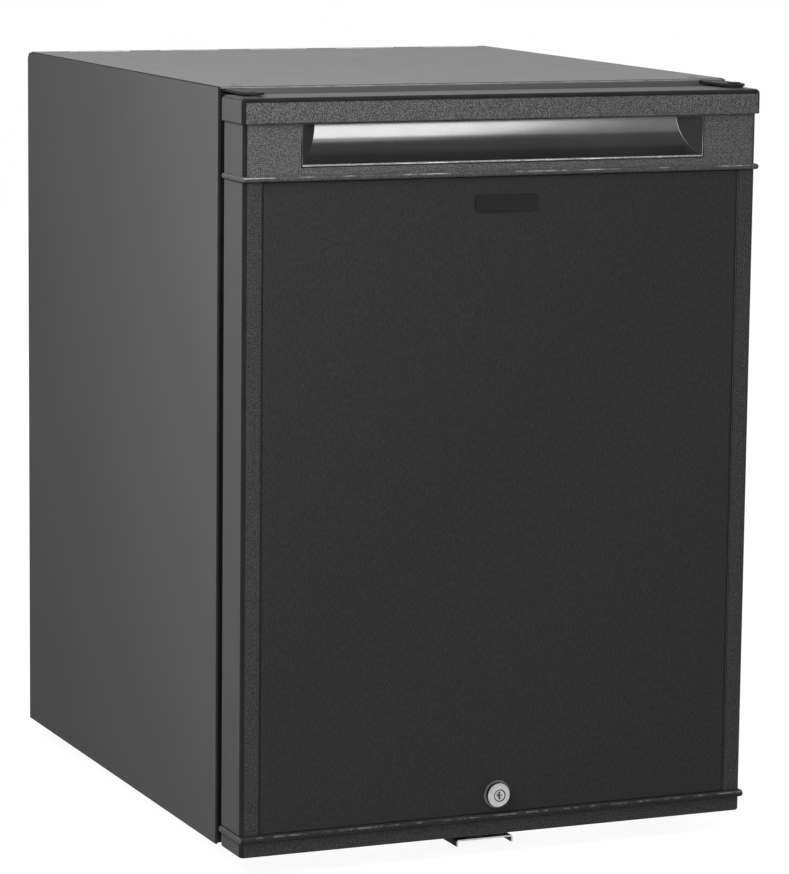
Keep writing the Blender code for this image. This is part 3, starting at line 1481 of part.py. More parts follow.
def unit_brackets():
    outline = [
        (WALL_BACK + FIT, LOWER_BRACKET_TOP + BRACKET_LEG),
        (WALL_BACK + FIT, LOWER_BRACKET_TOP - BRACKET_THICKNESS),
        (UNIT_Y + JACKET_RADIUS, LOWER_BRACKET_TOP - BRACKET_THICKNESS),
        (UNIT_Y + JACKET_RADIUS, LOWER_BRACKET_TOP),
        (WALL_BACK + FIT + BRACKET_THICKNESS, LOWER_BRACKET_TOP),
        (WALL_BACK + FIT + BRACKET_THICKNESS, LOWER_BRACKET_TOP + BRACKET_LEG),
    ]
    span = (JACKET_X - LOWER_BRACKET_LEFT, JACKET_X + LOWER_BRACKET_RIGHT)
    lower = prism("unit_bracket_lower", outline, "X", span, "galvanised")
    tube_place = (BOILER_TUBE_X, UNIT_Y, LOWER_BRACKET_TOP)
    cut(lower, drill("unit_bracket_lower_hole", BOILER_TUBE_RADIUS + FIT, tube_place, "Z", 20))
    high = CONDENSER_Z - CONDENSER_FIN_RADIUS - FIT
    outline = [
        (WALL_BACK + FIT, high),
        (WALL_BACK + FIT, high - BRACKET_LEG),
        (WALL_BACK + FIT + BRACKET_THICKNESS, high - BRACKET_LEG),
        (WALL_BACK + FIT + BRACKET_THICKNESS, high - BRACKET_THICKNESS),
        (UNIT_Y + CONDENSER_FIN_RADIUS / 2, high - BRACKET_THICKNESS),
        (UNIT_Y + CONDENSER_FIN_RADIUS / 2, high),
    ]
    right = CONDENSER_RIGHT - UPPER_BRACKET_INSET
    prism("unit_bracket_upper", outline, "X", (right - UPPER_BRACKET_WIDTH, right), "galvanised")


def reservoir():
    dome = RESERVOIR_RADIUS * 0.4
    left = RESERVOIR_LEFT
    right = RESERVOIR_RIGHT
    profile = [
        (RESERVOIR_RADIUS * 0.55, left),
        (RESERVOIR_RADIUS * 0.9, left + dome * 0.5),
        (RESERVOIR_RADIUS, left + dome),
        (RESERVOIR_RADIUS, right - dome),
        (RESERVOIR_RADIUS * 0.9, right - dome * 0.5),
        (RESERVOIR_RADIUS * 0.55, right),
    ]
    turned("reservoir", profile, (0, UNIT_Y, RESERVOIR_Z), "X", 24, "unit_paint")


def unit_pipes(boiler_low):
    route = [
        (RESERVOIR_RIGHT + FIT, UNIT_Y, RESERVOIR_Z),
        (BOILER_TUBE_X, UNIT_Y, RESERVOIR_Z),
        (BOILER_TUBE_X, UNIT_Y, boiler_low - FIT),
    ]
    pipe("liquid_pipe", bent_route(route, BEND_RADIUS * 0.6), PIPE_RADIUS, "unit_paint")

    below = CONDENSER_LEFT - BEND_RADIUS * 1.6
    route = [
        (0, INNER_BACK, EVAPORATOR_PIPE_Z),
        (0, UNIT_Y, EVAPORATOR_PIPE_Z),
        (below, UNIT_Y, EVAPORATOR_PIPE_Z),
        (below, UNIT_Y, CONDENSER_Z),
        (CONDENSER_LEFT - FIT, UNIT_Y, CONDENSER_Z),
    ]
    pipe("evaporator_pipe", bent_route(route, BEND_RADIUS * 0.7), PIPE_RADIUS, "unit_paint")

    entry = RESERVOIR_LEFT + COIL_ENTRY_INSET
    z = COIL_BOTTOM
    route = [(entry, UNIT_Y, z - COIL_RISE), (entry, UNIT_Y, z)]
    for run in range(COIL_RUNS):
        x = COIL_RIGHT if run % 2 == 0 else COIL_LEFT
        if run == COIL_RUNS - 1:
            x = COIL_LEFT + COIL_EXIT_INSET
        route.append((x, UNIT_Y, z))
        if run < COIL_RUNS - 1:
            z += COIL_PITCH
            route.append((x, UNIT_Y, z))
    route.append((route[-1][0], UNIT_Y, EVAPORATOR_PIPE_Z - PIPE_RADIUS - FIT))
    pipe("absorber_coil", bent_route(route, COIL_PITCH * COIL_BEND_SHARE), COIL_RADIUS, "unit_paint")


def terminal_box():
    width, depth, height = TERMINAL_BOX_SIZE
    right = CABINET_WIDTH / 2 - SHEET - TERMINAL_BOX_INSET
    low = BASE_TOP + TERMINAL_BOX_RISE
    front = WALL_BACK + FIT
    back = front + depth
    body = block("terminal_box", (right - width, right), (front, back), (low, low + height), "black_plastic")
    middle_x = right - width / 2
    middle_z = low + height / 2
    inlet_wide, inlet_deep, inlet_high = INLET_SIZE
    inlet_back = back + INLET_PROUD
    pocket = block(
        "terminal_box_pocket",
        (middle_x - inlet_wide / 2 - FIT, middle_x + inlet_wide / 2 + FIT),
        (inlet_back - inlet_deep - FIT, back + SHEET),
        (middle_z - inlet_high / 2 - FIT, middle_z + inlet_high / 2 + FIT),
    )
    cut(body, pocket)
    inlet = block(
        "power_inlet",
        (middle_x - inlet_wide / 2, middle_x + inlet_wide / 2),
        (inlet_back - inlet_deep, inlet_back),
        (middle_z - inlet_high / 2, middle_z + inlet_high / 2),
        "black_plastic",
    )
    recess_wide, recess_deep, recess_high = INLET_RECESS
    recess = block(
        "power_inlet_recess",
        (middle_x - recess_wide / 2, middle_x + recess_wide / 2),
        (inlet_back - recess_deep, inlet_back + SHEET),
        (middle_z - recess_high / 2, middle_z + recess_high / 2),
    )
    cut(inlet, recess)


def cooling_unit():
    condenser()
    boiler_low = boiler()
    unit_brackets()
    reservoir()
    unit_pipes(boiler_low)
    terminal_box()


def cabinet():
    for side in (-1, 1):
        side_panel(side)
    top_panel()
    base_panel()
    rear_wall()
    rear_cross_bar()
    front_frame()
    cabinet_foam()
    inner_liner()
    for label, (x, y) in foot_places().items():
        foot(label, x, y, "front" in label)


def fittings():
    shelf("shelf_lower", LOWER_SHELF_Z)
    shelf("shelf_upper", UPPER_SHELF_Z)
    evaporator()
    gutter()
    drain_parts()
    thermostat()
    lamp()
    top_plates()
    hinge_pins()
    lower_hinge_plate()
    strike_bracket()


clear_scene()
cabinet()
fittings()
door_assembly()
cooling_unit()
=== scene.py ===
import math

import bmesh
import bpy
from mathutils import Matrix, Vector


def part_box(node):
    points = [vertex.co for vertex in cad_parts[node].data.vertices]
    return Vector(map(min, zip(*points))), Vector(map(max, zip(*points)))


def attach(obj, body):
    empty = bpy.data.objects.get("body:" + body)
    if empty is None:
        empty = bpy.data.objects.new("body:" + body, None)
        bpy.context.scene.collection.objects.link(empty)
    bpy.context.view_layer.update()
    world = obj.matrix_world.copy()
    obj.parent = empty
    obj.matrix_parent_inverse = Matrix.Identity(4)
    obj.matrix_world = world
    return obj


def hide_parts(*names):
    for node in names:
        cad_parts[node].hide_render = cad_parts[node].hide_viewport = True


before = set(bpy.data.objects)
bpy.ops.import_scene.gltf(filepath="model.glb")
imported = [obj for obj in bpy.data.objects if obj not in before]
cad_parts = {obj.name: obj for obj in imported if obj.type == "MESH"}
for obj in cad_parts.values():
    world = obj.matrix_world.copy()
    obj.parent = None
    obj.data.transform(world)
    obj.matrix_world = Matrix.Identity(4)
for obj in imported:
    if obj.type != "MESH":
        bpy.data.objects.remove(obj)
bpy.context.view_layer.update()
scene = bpy.context.scene
print("minibar frame loaded with", len(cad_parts), "solids")


# camera, world, floor and lights

photoCamera = {
    "place": (-1.1704, -2.7682, 0.7445),
    "turn": -23.242,  # degrees from looking along +Y
    "tilt": 8.901,  # degrees downwards
    "roll": 0.643,
    "lens": 161.79,
    "sensor": 36.0,
    "clip": (0.05, 60.0),
}

studio = {
    "skyGlow": 0.08,  # what the walls and ceiling give to the object
    "floorSize": 9.0,
    "floorColour": (0.14, 0.14, 0.14),
    "floorRough": 0.9,
    "floorGloss": 0.1,
    "floorGlow": (0.92, 0.99),  # near the object and far from it
    "floorReach": (0.5, 1.8),  # metres from the middle, for these two
}

softBoxes = {  # place, aimed at, width, height, power in watts
    "frontBox": ((-0.05, -1.95, 0.925), (-0.05, -0.20, 0.925), 1.50, 1.07, 15.9),
    "keyBox": ((-0.85, -0.65, 1.00), (-0.18, -0.15, 0.45), 0.60, 0.60, 15.5),
    "lowBox": ((-0.62, -0.62, 0.16), (-0.20, -0.18, 0.12), 0.20, 0.30, 0.55),
    "topBox": ((0.10, 0.20, 2.40), (0.0, 0.0, 0.50), 1.60, 1.60, 22.0),
    "rightBox": ((2.20, -0.60, 1.20), (0.0, 0.0, 0.30), 1.00, 1.40, 30.0),
    "backBox": ((0.40, 2.40, 1.20), (0.0, 0.2, 0.30), 1.40, 1.20, 14.0),
}

recessBoxes = {  # mirrored in the finger recess alone, as the bright band that runs along it
    "bandBox": ((-0.03, -1.90, 1.05), (-0.03, -0.20, 1.05), 1.74, 0.90, 195.0),
    "bandFadeBox": ((-0.03, -1.88, 1.68), (-0.03, -0.20, 1.68), 1.74, 0.34, 16.0),
    "bandEndBox": ((1.15, -1.92, 1.00), (1.15, -0.20, 1.00), 0.74, 1.20, 8.5),
}


def addObject(name, data):
    thing = bpy.data.objects.new(name, data)
    scene.collection.objects.link(thing)
    return thing


def addNode(owner, kind, inputs=None, **settings):  # owner is a material or the world
    tree = owner.node_tree
    node = tree.nodes.new(kind)
    for key, value in settings.items():
        setattr(node, key, value)
    for key, value in (inputs or {}).items():
        if isinstance(value, bpy.types.NodeSocket):
            tree.links.new(value, node.inputs[key])
        else:
            node.inputs[key].default_value = value
    return node


def addMaths(owner, operation, first, second=0.0, **settings):
    return addNode(owner, "ShaderNodeMath", {0: first, 1: second}, operation=operation, **settings).outputs[0]


def addRange(owner, value, start, end, low, high):
    limits = {"From Min": start, "From Max": end, "To Min": low, "To Max": high}
    return addNode(owner, "ShaderNodeMapRange", {"Value": value, **limits}).outputs["Result"]


def seenRays(owner):  # 1 for camera, glossy and transmission rays
    rays = addNode(owner, "ShaderNodeLightPath").outputs
    direct = addMaths(owner, "ADD", rays["Is Camera Ray"], rays["Is Glossy Ray"])
    return addMaths(owner, "ADD", direct, rays["Is Transmission Ray"], use_clamp=True)


def startFinish(name, colour, roughness, metallic=0.0, gloss=0.5, sockets=None):
    finish = bpy.data.materials.new(name)
    finish.use_nodes = True
    values = {"Base Color": (*colour, 1.0), "Roughness": roughness, "Metallic": metallic}
    values["Specular IOR Level"] = gloss
    values.update(sockets or {})
    for socket, value in values.items():
        finish.node_tree.nodes["Principled BSDF"].inputs[socket].default_value = value
    return finish


def feed(finish, socket, output):
    tree = finish.node_tree
    tree.links.new(output, tree.nodes["Principled BSDF"].inputs[socket])


def grainPlace(finish):
    return addNode(finish, "ShaderNodeTexCoord").outputs["Object"]


def makeCamera():
    data = bpy.data.cameras.new("photoCamera")
    data.lens = photoCamera["lens"]
    data.sensor_width = photoCamera["sensor"]
    data.sensor_fit = "AUTO"
    data.clip_start, data.clip_end = photoCamera["clip"]
    turn, tilt, roll = (math.radians(photoCamera[key]) for key in ("turn", "tilt", "roll"))
    ahead = Vector((-math.sin(turn), math.cos(turn), 0))
    right = Vector((math.cos(turn), math.sin(turn), 0))
    up = Vector((0, 0, 1))
    forward = ahead * math.cos(tilt) - up * math.sin(tilt)
    lifted = up * math.cos(tilt) + ahead * math.sin(tilt)
    across = right * math.cos(roll) + lifted * math.sin(roll)
    above = lifted * math.cos(roll) - right * math.sin(roll)
    turned = Matrix((across, above, -forward)).transposed().to_4x4()
    camera = addObject("photoCamera", data)
    camera.matrix_world = Matrix.Translation(photoCamera["place"]) @ turned
    scene.camera = camera


def makeWorld():
    world = bpy.data.worlds.new("studioWalls")
    world.use_nodes = True
    scene.world = world
    glow = world.node_tree.nodes["Background"]
    glow.inputs["Color"].default_value = (1, 1, 1, 1)
    strength = addRange(world, seenRays(world), 0.0, 1.0, studio["skyGlow"], 1.0)
    world.node_tree.links.new(strength, glow.inputs["Strength"])


def makeFloor():
    half = studio["floorSize"] / 2
    mesh = bpy.data.meshes.new("studioFloor")
    corners = [(-half, -half, 0), (half, -half, 0), (half, half, 0), (-half, half, 0)]
    mesh.from_pydata(corners, [], [(0, 1, 2, 3)])
    floor = addObject("studioFloor", mesh)
    rough, gloss = studio["floorRough"], studio["floorGloss"]
    white = {"Emission Color": (1, 1, 1, 1)}
    card = startFinish("paleCard", studio["floorColour"], rough, gloss=gloss, sockets=white)
    away = addNode(card, "ShaderNodeVectorMath", {0: grainPlace(card)}, operation="LENGTH").outputs["Value"]
    level = addRange(card, away, *studio["floorReach"], *studio["floorGlow"])
    feed(card, "Emission Strength", addRange(card, seenRays(card), 0.0, 1.0, 0.0, level))
    mesh.materials.append(card)


def makeLight(name, place, aim, width, height, power):
    data = bpy.data.lights.new(name, "AREA")
    data.shape = "RECTANGLE"
    data.size = width
    data.size_y = height
    data.energy = power
    light = addObject(name, data)
    light.location = place
    light.rotation_euler = (Vector(aim) - Vector(place)).to_track_quat("-Z", "Y").to_euler()
    light.visible_camera = False
    return light


def lightRecess(piece):
    lit = bpy.data.collections.new("recessOnly")
    lit.objects.link(piece)
    for name, values in recessBoxes.items():
        makeLight(name, *values).light_linking.receiver_collection = lit


scene.view_settings.view_transform = "Standard"
makeCamera()
makeWorld()
makeFloor()
for name, values in softBoxes.items():
    makeLight(name, *values).visible_glossy = False
print("camera, floor and soft boxes placed")


# finishes: the same slots as in the record, each with its own grain

def grey(value, warm=0.0):
    return (value * (1 + warm), value, value * (1 - warm))


def speckle(finish, scale, detail=2.0, rough=0.5, stretch=None):
    place = grainPlace(finish)
    if stretch:
        place = addNode(finish, "ShaderNodeMapping", {"Vector": place, "Scale": stretch}).outputs["Vector"]
    grain = {"Vector": place, "Scale": scale, "Detail": detail, "Roughness": rough}
    return addNode(finish, "ShaderNodeTexNoise", grain).outputs["Fac"]


def pebble(finish, scale, smooth):
    cells = {"Vector": grainPlace(finish), "Scale": scale, "Smoothness": smooth}
    return addNode(finish, "ShaderNodeTexVoronoi", cells, feature="SMOOTH_F1").outputs["Distance"]


def blendOf(finish, first, second, share):  # share of the second one
    mixed = {"Factor": share, "A": first, "B": second}
    return addNode(finish, "ShaderNodeMix", mixed, data_type="FLOAT").outputs[0]


def tint(finish, amount, *stops):
    ramp = addNode(finish, "ShaderNodeValToRGB", {"Fac": amount})
    marks = ramp.color_ramp.elements
    while len(marks) < len(stops):
        marks.new(0.5)
    for mark, (spot, colour) in zip(marks, stops):
        mark.position = spot
        mark.color = (*colour, 1.0)
    feed(finish, "Base Color", ramp.outputs["Color"])


def polish(finish, amount, low, high, start=0.3, end=0.7):
    feed(finish, "Roughness", addRange(finish, amount, start, end, low, high))


def relief(finish, height, strength, depth, under=None):
    inputs = {"Height": height, "Strength": strength, "Distance": depth}
    if under:
        inputs["Normal"] = under
    normal = addNode(finish, "ShaderNodeBump", inputs).outputs["Normal"]
    feed(finish, "Normal", normal)
    return normal


# one noise each for colour, roughness and relief: scale and detail, then two tones, two levels, or
# strength and depth
def noisyFinish(name, colour, roughness, tones, sheen, *layers, **kind):
    finish = startFinish(name, colour, roughness, **kind)
    scale, detail, dark, light = tones
    tint(finish, speckle(finish, scale, detail), (0.3, dark), (0.7, light))
    scale, detail, low, high = sheen
    polish(finish, speckle(finish, scale, detail), low, high)
    normal = None
    for scale, detail, strength, depth in layers:
        normal = relief(finish, speckle(finish, scale, detail), strength, depth, normal)
    return finish


def greyNoise(name, shade, roughness, tones, sheen, *layers, **kind):
    scale, detail, dark, light = tones
    tones = (scale, detail, grey(dark), grey(light))
    return noisyFinish(name, grey(shade), roughness, tones, sheen, *layers, **kind)


# the same grain for colour, roughness and relief
def grainedFinish(finish, grain, dark, light, low, high, strength, depth):
    tint(finish, grain, dark, light)
    polish(finish, grain, low, high)
    relief(finish, grain, strength, depth)
    return finish


def satinPaint(name, shade, gloss):  # powder paint over the steel panels
    tones = (9.0, 3.0, shade * 0.98, shade * 1.03)
    layers = [(420.0, 1.0, 0.05, 0.0002), (2200.0, 1.0, 0.05, 0.0001)]
    return greyNoise(name, shade, 0.33, tones, (40.0, 3.0, 0.325, 0.345), *layers, gloss=gloss)


def edgeGlint(name, shade):  # painted highlight along the front bend, and on the slots' bare cut walls, which are made pale as a painted highlight
    tones = (90.0, 3.0, shade * 0.7, shade * 1.35)
    return greyNoise(name, shade, 0.4, tones, (400.0, 2.0, 0.34, 0.46), (900.0, 1.0, 0.08, 0.0002), gloss=0.2)


def leatherGrain(name, shade):  # pebbled foil on the door's front profiles; a shade below 1 gives a darker copy as painted shade
    finish = startFinish(name, grey(0.05), 0.5, gloss=0.15)
    fine = speckle(finish, 1220.0, 2.0, 0.7)
    stops = [(spot, grey(level * shade)) for spot, level in ((0.34, 0.022), (0.5, 0.058), (0.63, 0.160))]
    tint(finish, fine, *stops)
    polish(finish, fine, 0.42, 0.62)
    relief(finish, blendOf(finish, pebble(finish, 1000.0, 0.6), fine, 0.5), 0.6, 0.0004)
    return finish


def beadGrainAndGlint(name, shade, stretches):  # painted highlight in streaks along its upper edge
    finish = startFinish(name, grey(0.04 * shade), 0.4, gloss=0.15 * shade)
    fine = speckle(finish, 1220.0, 2.0, 0.7)
    along = speckle(finish, stretches, 3.0, 0.6, (1.0, 0.02, 0.02))
    glintStreaks = addRange(finish, along, 0.47, 0.62, 0.0, 1.0)
    # the highlight streaks are painted only where the face turns half upwards
    normal = addNode(finish, "ShaderNodeNewGeometry").outputs["Normal"]
    rise = addNode(finish, "ShaderNodeSeparateXYZ", {"Vector": normal}).outputs["Z"]
    offEdge = addMaths(finish, "ABSOLUTE", addMaths(finish, "SUBTRACT", rise, 0.5))
    edge = addRange(finish, offEdge, 0.12, 0.28, 0.5, 0.0)
    grainAndGlint = addMaths(finish, "ADD", addMaths(finish, "MULTIPLY", glintStreaks, edge), fine)
    levels = ((0.34, 0.020), (0.50, 0.048), (0.66, 0.10), (1.0, 0.26))
    tint(finish, grainAndGlint, *[(spot, grey(level * shade)) for spot, level in levels])
    polish(finish, along, 0.3, 0.5)
    relief(finish, fine, 0.35, 0.0003)
    return finish


def doorSkin():  # dark laminate of the flat front panel
    finish = startFinish("doorSkin", grey(0.020), 0.45, gloss=0.10)
    streaks = speckle(finish, 900.0, 3.0, 0.6, (1.0, 1.0, 0.35))
    tint(finish, streaks, (0.35, grey(0.0182)), (0.65, grey(0.0280)))
    polish(finish, speckle(finish, 26.0, 4.0), 0.42, 0.48)
    relief(finish, streaks, 0.10, 0.0002)
    return finish


def foamCells():
    finish = startFinish("foamCells", (0.72, 0.64, 0.45), 0.9)
    dark, light = (0.1, (0.60, 0.52, 0.34)), (0.6, (0.76, 0.69, 0.50))
    return grainedFinish(finish, pebble(finish, 900.0, 0.3), dark, light, 0.82, 0.95, 0.6, 0.0006)


def zincSpangle():  # hot-dipped sheet: crystals a few millimetres wide
    finish = startFinish("zincSpangle", (0.56, 0.57, 0.58), 0.4, 1.0)
    crystals = addNode(finish, "ShaderNodeTexVoronoi", {"Vector": grainPlace(finish), "Scale": 170.0})
    turned = addNode(finish, "ShaderNodeSeparateColor", {"Color": crystals.outputs["Color"]}).outputs["Red"]
    cloud = blendOf(finish, turned, speckle(finish, 400.0, 4.0), 0.45)
    tint(finish, cloud, (0.2, (0.44, 0.45, 0.46)), (0.8, (0.62, 0.63, 0.64)))
    polish(finish, cloud, 0.30, 0.52, 0.2, 0.8)
    relief(finish, speckle(finish, 600.0), 0.08, 0.0002)
    return finish


def brushedAluminium():
    finish = startFinish("brushedAluminium", (0.70, 0.71, 0.72), 0.35, 1.0)
    dark, light = (0.3, (0.60, 0.61, 0.62)), (0.7, (0.72, 0.73, 0.74))
    lines = speckle(finish, 60.0, 4.0, 0.6, (1.0, 1.0, 22.0))
    return grainedFinish(finish, lines, dark, light, 0.26, 0.44, 0.12, 0.0002)


def scratchedChrome(name, colour, roughness, *look):
    finish = startFinish(name, colour, roughness, 1.0)
    return grainedFinish(finish, speckle(finish, 500.0, 4.0, 0.6, (1.0, 1.0, 8.0)), *look)


def chromePlate():
    dark, light = (0.3, (0.36, 0.36, 0.37)), (0.7, (0.52, 0.52, 0.53))
    return scratchedChrome("chromePlate", (0.45, 0.45, 0.46), 0.12, dark, light, 0.07, 0.22, 0.06, 0.0001)


def shadedChrome():  # darker copy of the chrome for the lock's flanks: painted shade in what they mirror
    dark, light = (0.35, grey(0.035)), (0.65, grey(0.16))
    return scratchedChrome("shadedChrome", grey(0.09), 0.2, dark, light, 0.14, 0.3, 0.08, 0.0001)


def unitEnamel():  # black enamel over the welded steel tubes, with a little dust
    finish = startFinish("unitEnamel", grey(0.02), 0.45)
    dust = speckle(finish, 40.0, 5.0, 0.65)
    tint(finish, dust, (0.40, grey(0.016)), (0.62, grey(0.026)), (0.80, grey(0.055, 0.06)))
    polish(finish, dust, 0.34, 0.62)
    relief(finish, speckle(finish, 260.0, 3.0), 0.18, 0.0003)
    return finish


finishes = {
    "painted_steel": satinPaint("satinPaint", 0.085, 0.02),
    "grained_plastic": leatherGrain("leatherGrain", 1.0),
    "door_skin": doorSkin(),
    "gloss_black": greyNoise(  # moulded finger recess and the bare plate
        "glossBlack", 0.0035, 0.14, (18.0, 2.0, 0.003, 0.004),
        (40.0, 4.0, 0.13, 0.17), (22.0, 1.0, 0.05, 0.0006), gloss=0.25,
    ),
    "black_rubber": greyNoise(
        "blackRubber", 0.010, 0.75, (90.0, 4.0, 0.008, 0.013),
        (300.0, 2.0, 0.66, 0.85), (1500.0, 2.0, 0.25, 0.0002), gloss=0.15,
    ),
    "black_plastic": greyNoise(  # spark-eroded mould texture
        "blackPlastic", 0.018, 0.45, (50.0, 2.0, 0.015, 0.022),
        (500.0, 2.0, 0.38, 0.52), (1800.0, 2.0, 0.22, 0.0002),
    ),
    "white_plastic": noisyFinish(  # vacuum-formed liner and moulded fittings
        "whitePlastic", grey(0.8), 0.32, (14.0, 3.0, (0.765, 0.775, 0.772), (0.80, 0.808, 0.805)),
        (30.0, 2.0, 0.30, 0.36), (45.0, 1.0, 0.03, 0.0003), gloss=0.3,
    ),
    "clear_plastic": noisyFinish(
        "clearPlastic", (0.86, 0.90, 0.92), 0.05, (20.0, 2.0, (0.84, 0.89, 0.91), (0.90, 0.93, 0.94)),
        (90.0, 4.0, 0.03, 0.14), (60.0, 1.0, 0.06, 0.0004), sockets={"Transmission Weight": 1.0, "IOR": 1.5},
    ),
    "foam": foamCells(),
    "galvanised": zincSpangle(),
    "aluminium": brushedAluminium(),
    "chrome": chromePlate(),
    "brass": noisyFinish(
        "turnedBrass", (0.72, 0.55, 0.28), 0.3, (160.0, 4.0, (0.62, 0.46, 0.22), (0.76, 0.59, 0.31)),
        (400.0, 2.0, 0.24, 0.42), (900.0, 2.0, 0.1, 0.0001), metallic=1.0,
    ),
    "hinge_steel": greyNoise(  # blackened zinc on hinge plates, pins and screws
        "blackZinc", 0.016, 0.5, (220.0, 4.0, 0.010, 0.024),
        (500.0, 3.0, 0.44, 0.58), (1100.0, 2.0, 0.15, 0.0001), gloss=0.06,
    ),
    "unit_paint": unitEnamel(),
}
profileTrims = [
    greyNoise(  # plain side faces of the door's profiles
        "smoothProfile", 0.08, 0.45, (30.0, 3.0, 0.077, 0.084),
        (120.0, 2.0, 0.43, 0.47), (900.0, 1.0, 0.06, 0.0002), gloss=0.02,
    ),
    greyNoise(  # painted shade: dark rounded edge between front and side, where the light falls away
        "cornerShade", 0.007, 0.4, (60.0, 2.0, 0.005, 0.009),
        (200.0, 2.0, 0.30, 0.42), (700.0, 1.0, 0.08, 0.0002), gloss=0.15,
    ),
    beadGrainAndGlint("beadGrainAndGlint", 1.0, 48.0),
    # a darker copy of the same foil for the stiles and bottom profile: painted shade
    leatherGrain("stileGrainShaded", 0.44),
    # a darker copy of the bead finish for the lower bead: painted shade, with its own highlight streaks
    beadGrainAndGlint("lowBeadGrainShaded", 0.45, 110.0),
]
# the sides' copy of the panel paint, a little lighter and with less sheen: a painted light level for the
# sides
sideLitPaint = satinPaint("sideLitPaint", 0.103, 0.004)
# painted shade and highlights for the top panel: the dark corner finish, a bright bend line, and pale slot
# walls
bendShadeAndGlints = [profileTrims[1], edgeGlint("edgeGlint", 0.14), edgeGlint("ventWallGlint", 0.55)]
flankShadeChrome = shadedChrome()
print("finishes mixed for", len(finishes), "slots, with", len(profileTrims), "door trims")


# drawing aids: outlines in a plane, and closed forms made from them

def onAxis(axis, u, v, along):
    return {"X": (along, u, v), "Y": (u, along, v), "Z": (u, v, along)}[axis]


def span(middle, wide):
    return middle - wide / 2, middle + wide / 2


def sideways(side, near, far):  # the same reach to the left or right of the middle
    return sorted((side * near, side * far))


def sideName(side):
    return "Left" if side < 0 else "Right"


def ringAngles(sides):
    return [2 * math.pi * step / sides for step in range(sides)]


def arcPoints(centre, radius, start, end, steps):  # start and end in degrees
    turns = [math.radians(start + (end - start) * step / steps) for step in range(steps + 1)]
    return [(centre[0] + radius * math.cos(turn), centre[1] + radius * math.sin(turn)) for turn in turns]


def filletPoint(before, here, after, radius, steps):
    before, here, after = Vector(before), Vector(here), Vector(after)
    arriving, leaving = (here - before).normalized(), (after - here).normalized()
    turn = math.atan2(arriving.cross(leaving), arriving.dot(leaving))
    if radius <= 0 or abs(turn) < 1e-4:
        return [tuple(here)]
    start = here - arriving * radius * math.tan(abs(turn) / 2)
    inward = Vector((-arriving.y, arriving.x)) * (1 if turn > 0 else -1)
    centre = start + inward * radius
    spoke = start - centre
    found = []
    for step in range(steps + 1):
        angle = turn * step / steps
        cos, sin = math.cos(angle), math.sin(angle)
        found.append((centre.x + spoke.x * cos - spoke.y * sin, centre.y + spoke.x * sin + spoke.y * cos))
    return found


def plan(points, radii, steps=5):  # gives the outline at any inset, always with as many points
    count = len(points)
    radii = radii if isinstance(radii, (list, tuple)) else [radii] * count
    area = sum(points[i - 1][0] * points[i][1] - points[i][0] * points[i - 1][1] for i in range(count))
    hand = 1 if area > 0 else -1

    def outline(inset=0.0):
        moved, turns = [], []
        for i in range(count):
            here = Vector(points[i])
            arriving = (here - Vector(points[i - 1])).normalized()
            leaving = (Vector(points[(i + 1) % count]) - here).normalized()
            first = Vector((-arriving.y, arriving.x)) * hand
            second = Vector((-leaving.y, leaving.x)) * hand
            moved.append(here + (first + second) * inset / (1 + first.dot(second)))
            turns.append(arriving.cross(leaving) * hand)
        ring = []
        for i in range(count):
            if radii[i] <= 0:
                ring.append(tuple(moved[i]))
                continue
            radius = radii[i] - inset if turns[i] > 0 else radii[i] + inset
            ring += filletPoint(moved[i - 1], moved[i], moved[(i + 1) % count], max(radius, 0.00002), steps)
        return ring

    return outline


def rectPlan(left, right, low, high, radii=0.0, steps=5):
    return plan([(left, low), (right, low), (right, high), (left, high)], radii, steps)


def frontPlan(low, high, radii, steps=5):
    return rectPlan(low.x, high.x, low.z, high.z, radii, steps)


def topPlan(low, high, radii, steps):
    return rectPlan(low.x, high.x, low.y, high.y, radii, steps)


def ridgedPlan(centre, radius, depth, ridges):
    def outline(inset=0.0):
        points = []
        for angle in ringAngles(ridges * 6):
            size = radius - inset - depth * (0.5 + 0.5 * math.cos(ridges * angle))
            points.append((centre[0] + size * math.cos(angle), centre[1] + size * math.sin(angle)))
        return points

    return outline


def softLevels(low, high, softLow, softHigh=None, steps=3):  # (place, inset) with rounded ends
    softHigh = softLow if softHigh is None else softHigh
    turns = [math.pi / 2 * step / steps for step in range(steps + 1)]
    rising = [(low + softLow * (1 - math.cos(turn)), softLow * (1 - math.sin(turn))) for turn in turns]
    turns.reverse()
    falling = [(high - softHigh * (1 - math.cos(turn)), softHigh * (1 - math.sin(turn))) for turn in turns]
    return rising + falling


def cupLevels(low, high, wall, soft, steps=4):  # up the outside, over the rim and down the inside
    outside = softLevels(low, high, soft, wall / 2, steps)
    inside = softLevels(low + wall, high, max(soft - wall, 0.0004), wall / 2, steps)
    floor = [(place, wall + inset) for place, inset in inside[: steps + 1]]
    rim = [(place, wall - inset) for place, inset in inside[steps + 1 : -1]]
    return outside + rim[::-1] + floor[::-1]


def makeLoft(rings, around=False):
    bm = bmesh.new()
    made = [[bm.verts.new(point) for point in ring] for ring in rings]
    pairs = list(zip(made, made[1:]))
    if around:
        pairs.append((made[-1], made[0]))
    else:
        bm.faces.new(made[0])
        bm.faces.new(made[-1])
    for first, second in pairs:
        for i in range(len(first)):
            j = (i + 1) % len(first)
            bm.faces.new((first[i], first[j], second[j], second[i]))
    return bm


def makeSlab(outline, axis, levels):
    return makeLoft([[onAxis(axis, u, v, place) for u, v in outline(inset)] for place, inset in levels])


def makePrism(points, axis, low, high):
    return makeLoft([[onAxis(axis, u, v, place) for u, v in points] for place in (low, high)])


def makeBox(x, y, z, corner=0.0):
    if corner:
        return makeSlab(rectPlan(*x, *y, corner, 3), "Z", softLevels(*z, corner))
    return makePrism([(x[0], y[0]), (x[1], y[0]), (x[1], y[1]), (x[0], y[1])], "Z", *z)


def makeFrame(section, outline, axis="Y"):  # section is (inset, place), carried round the outline
    rings = [[onAxis(axis, u, v, place) for u, v in outline(inset)] for inset, place in section]
    return makeLoft(rings, around=True)


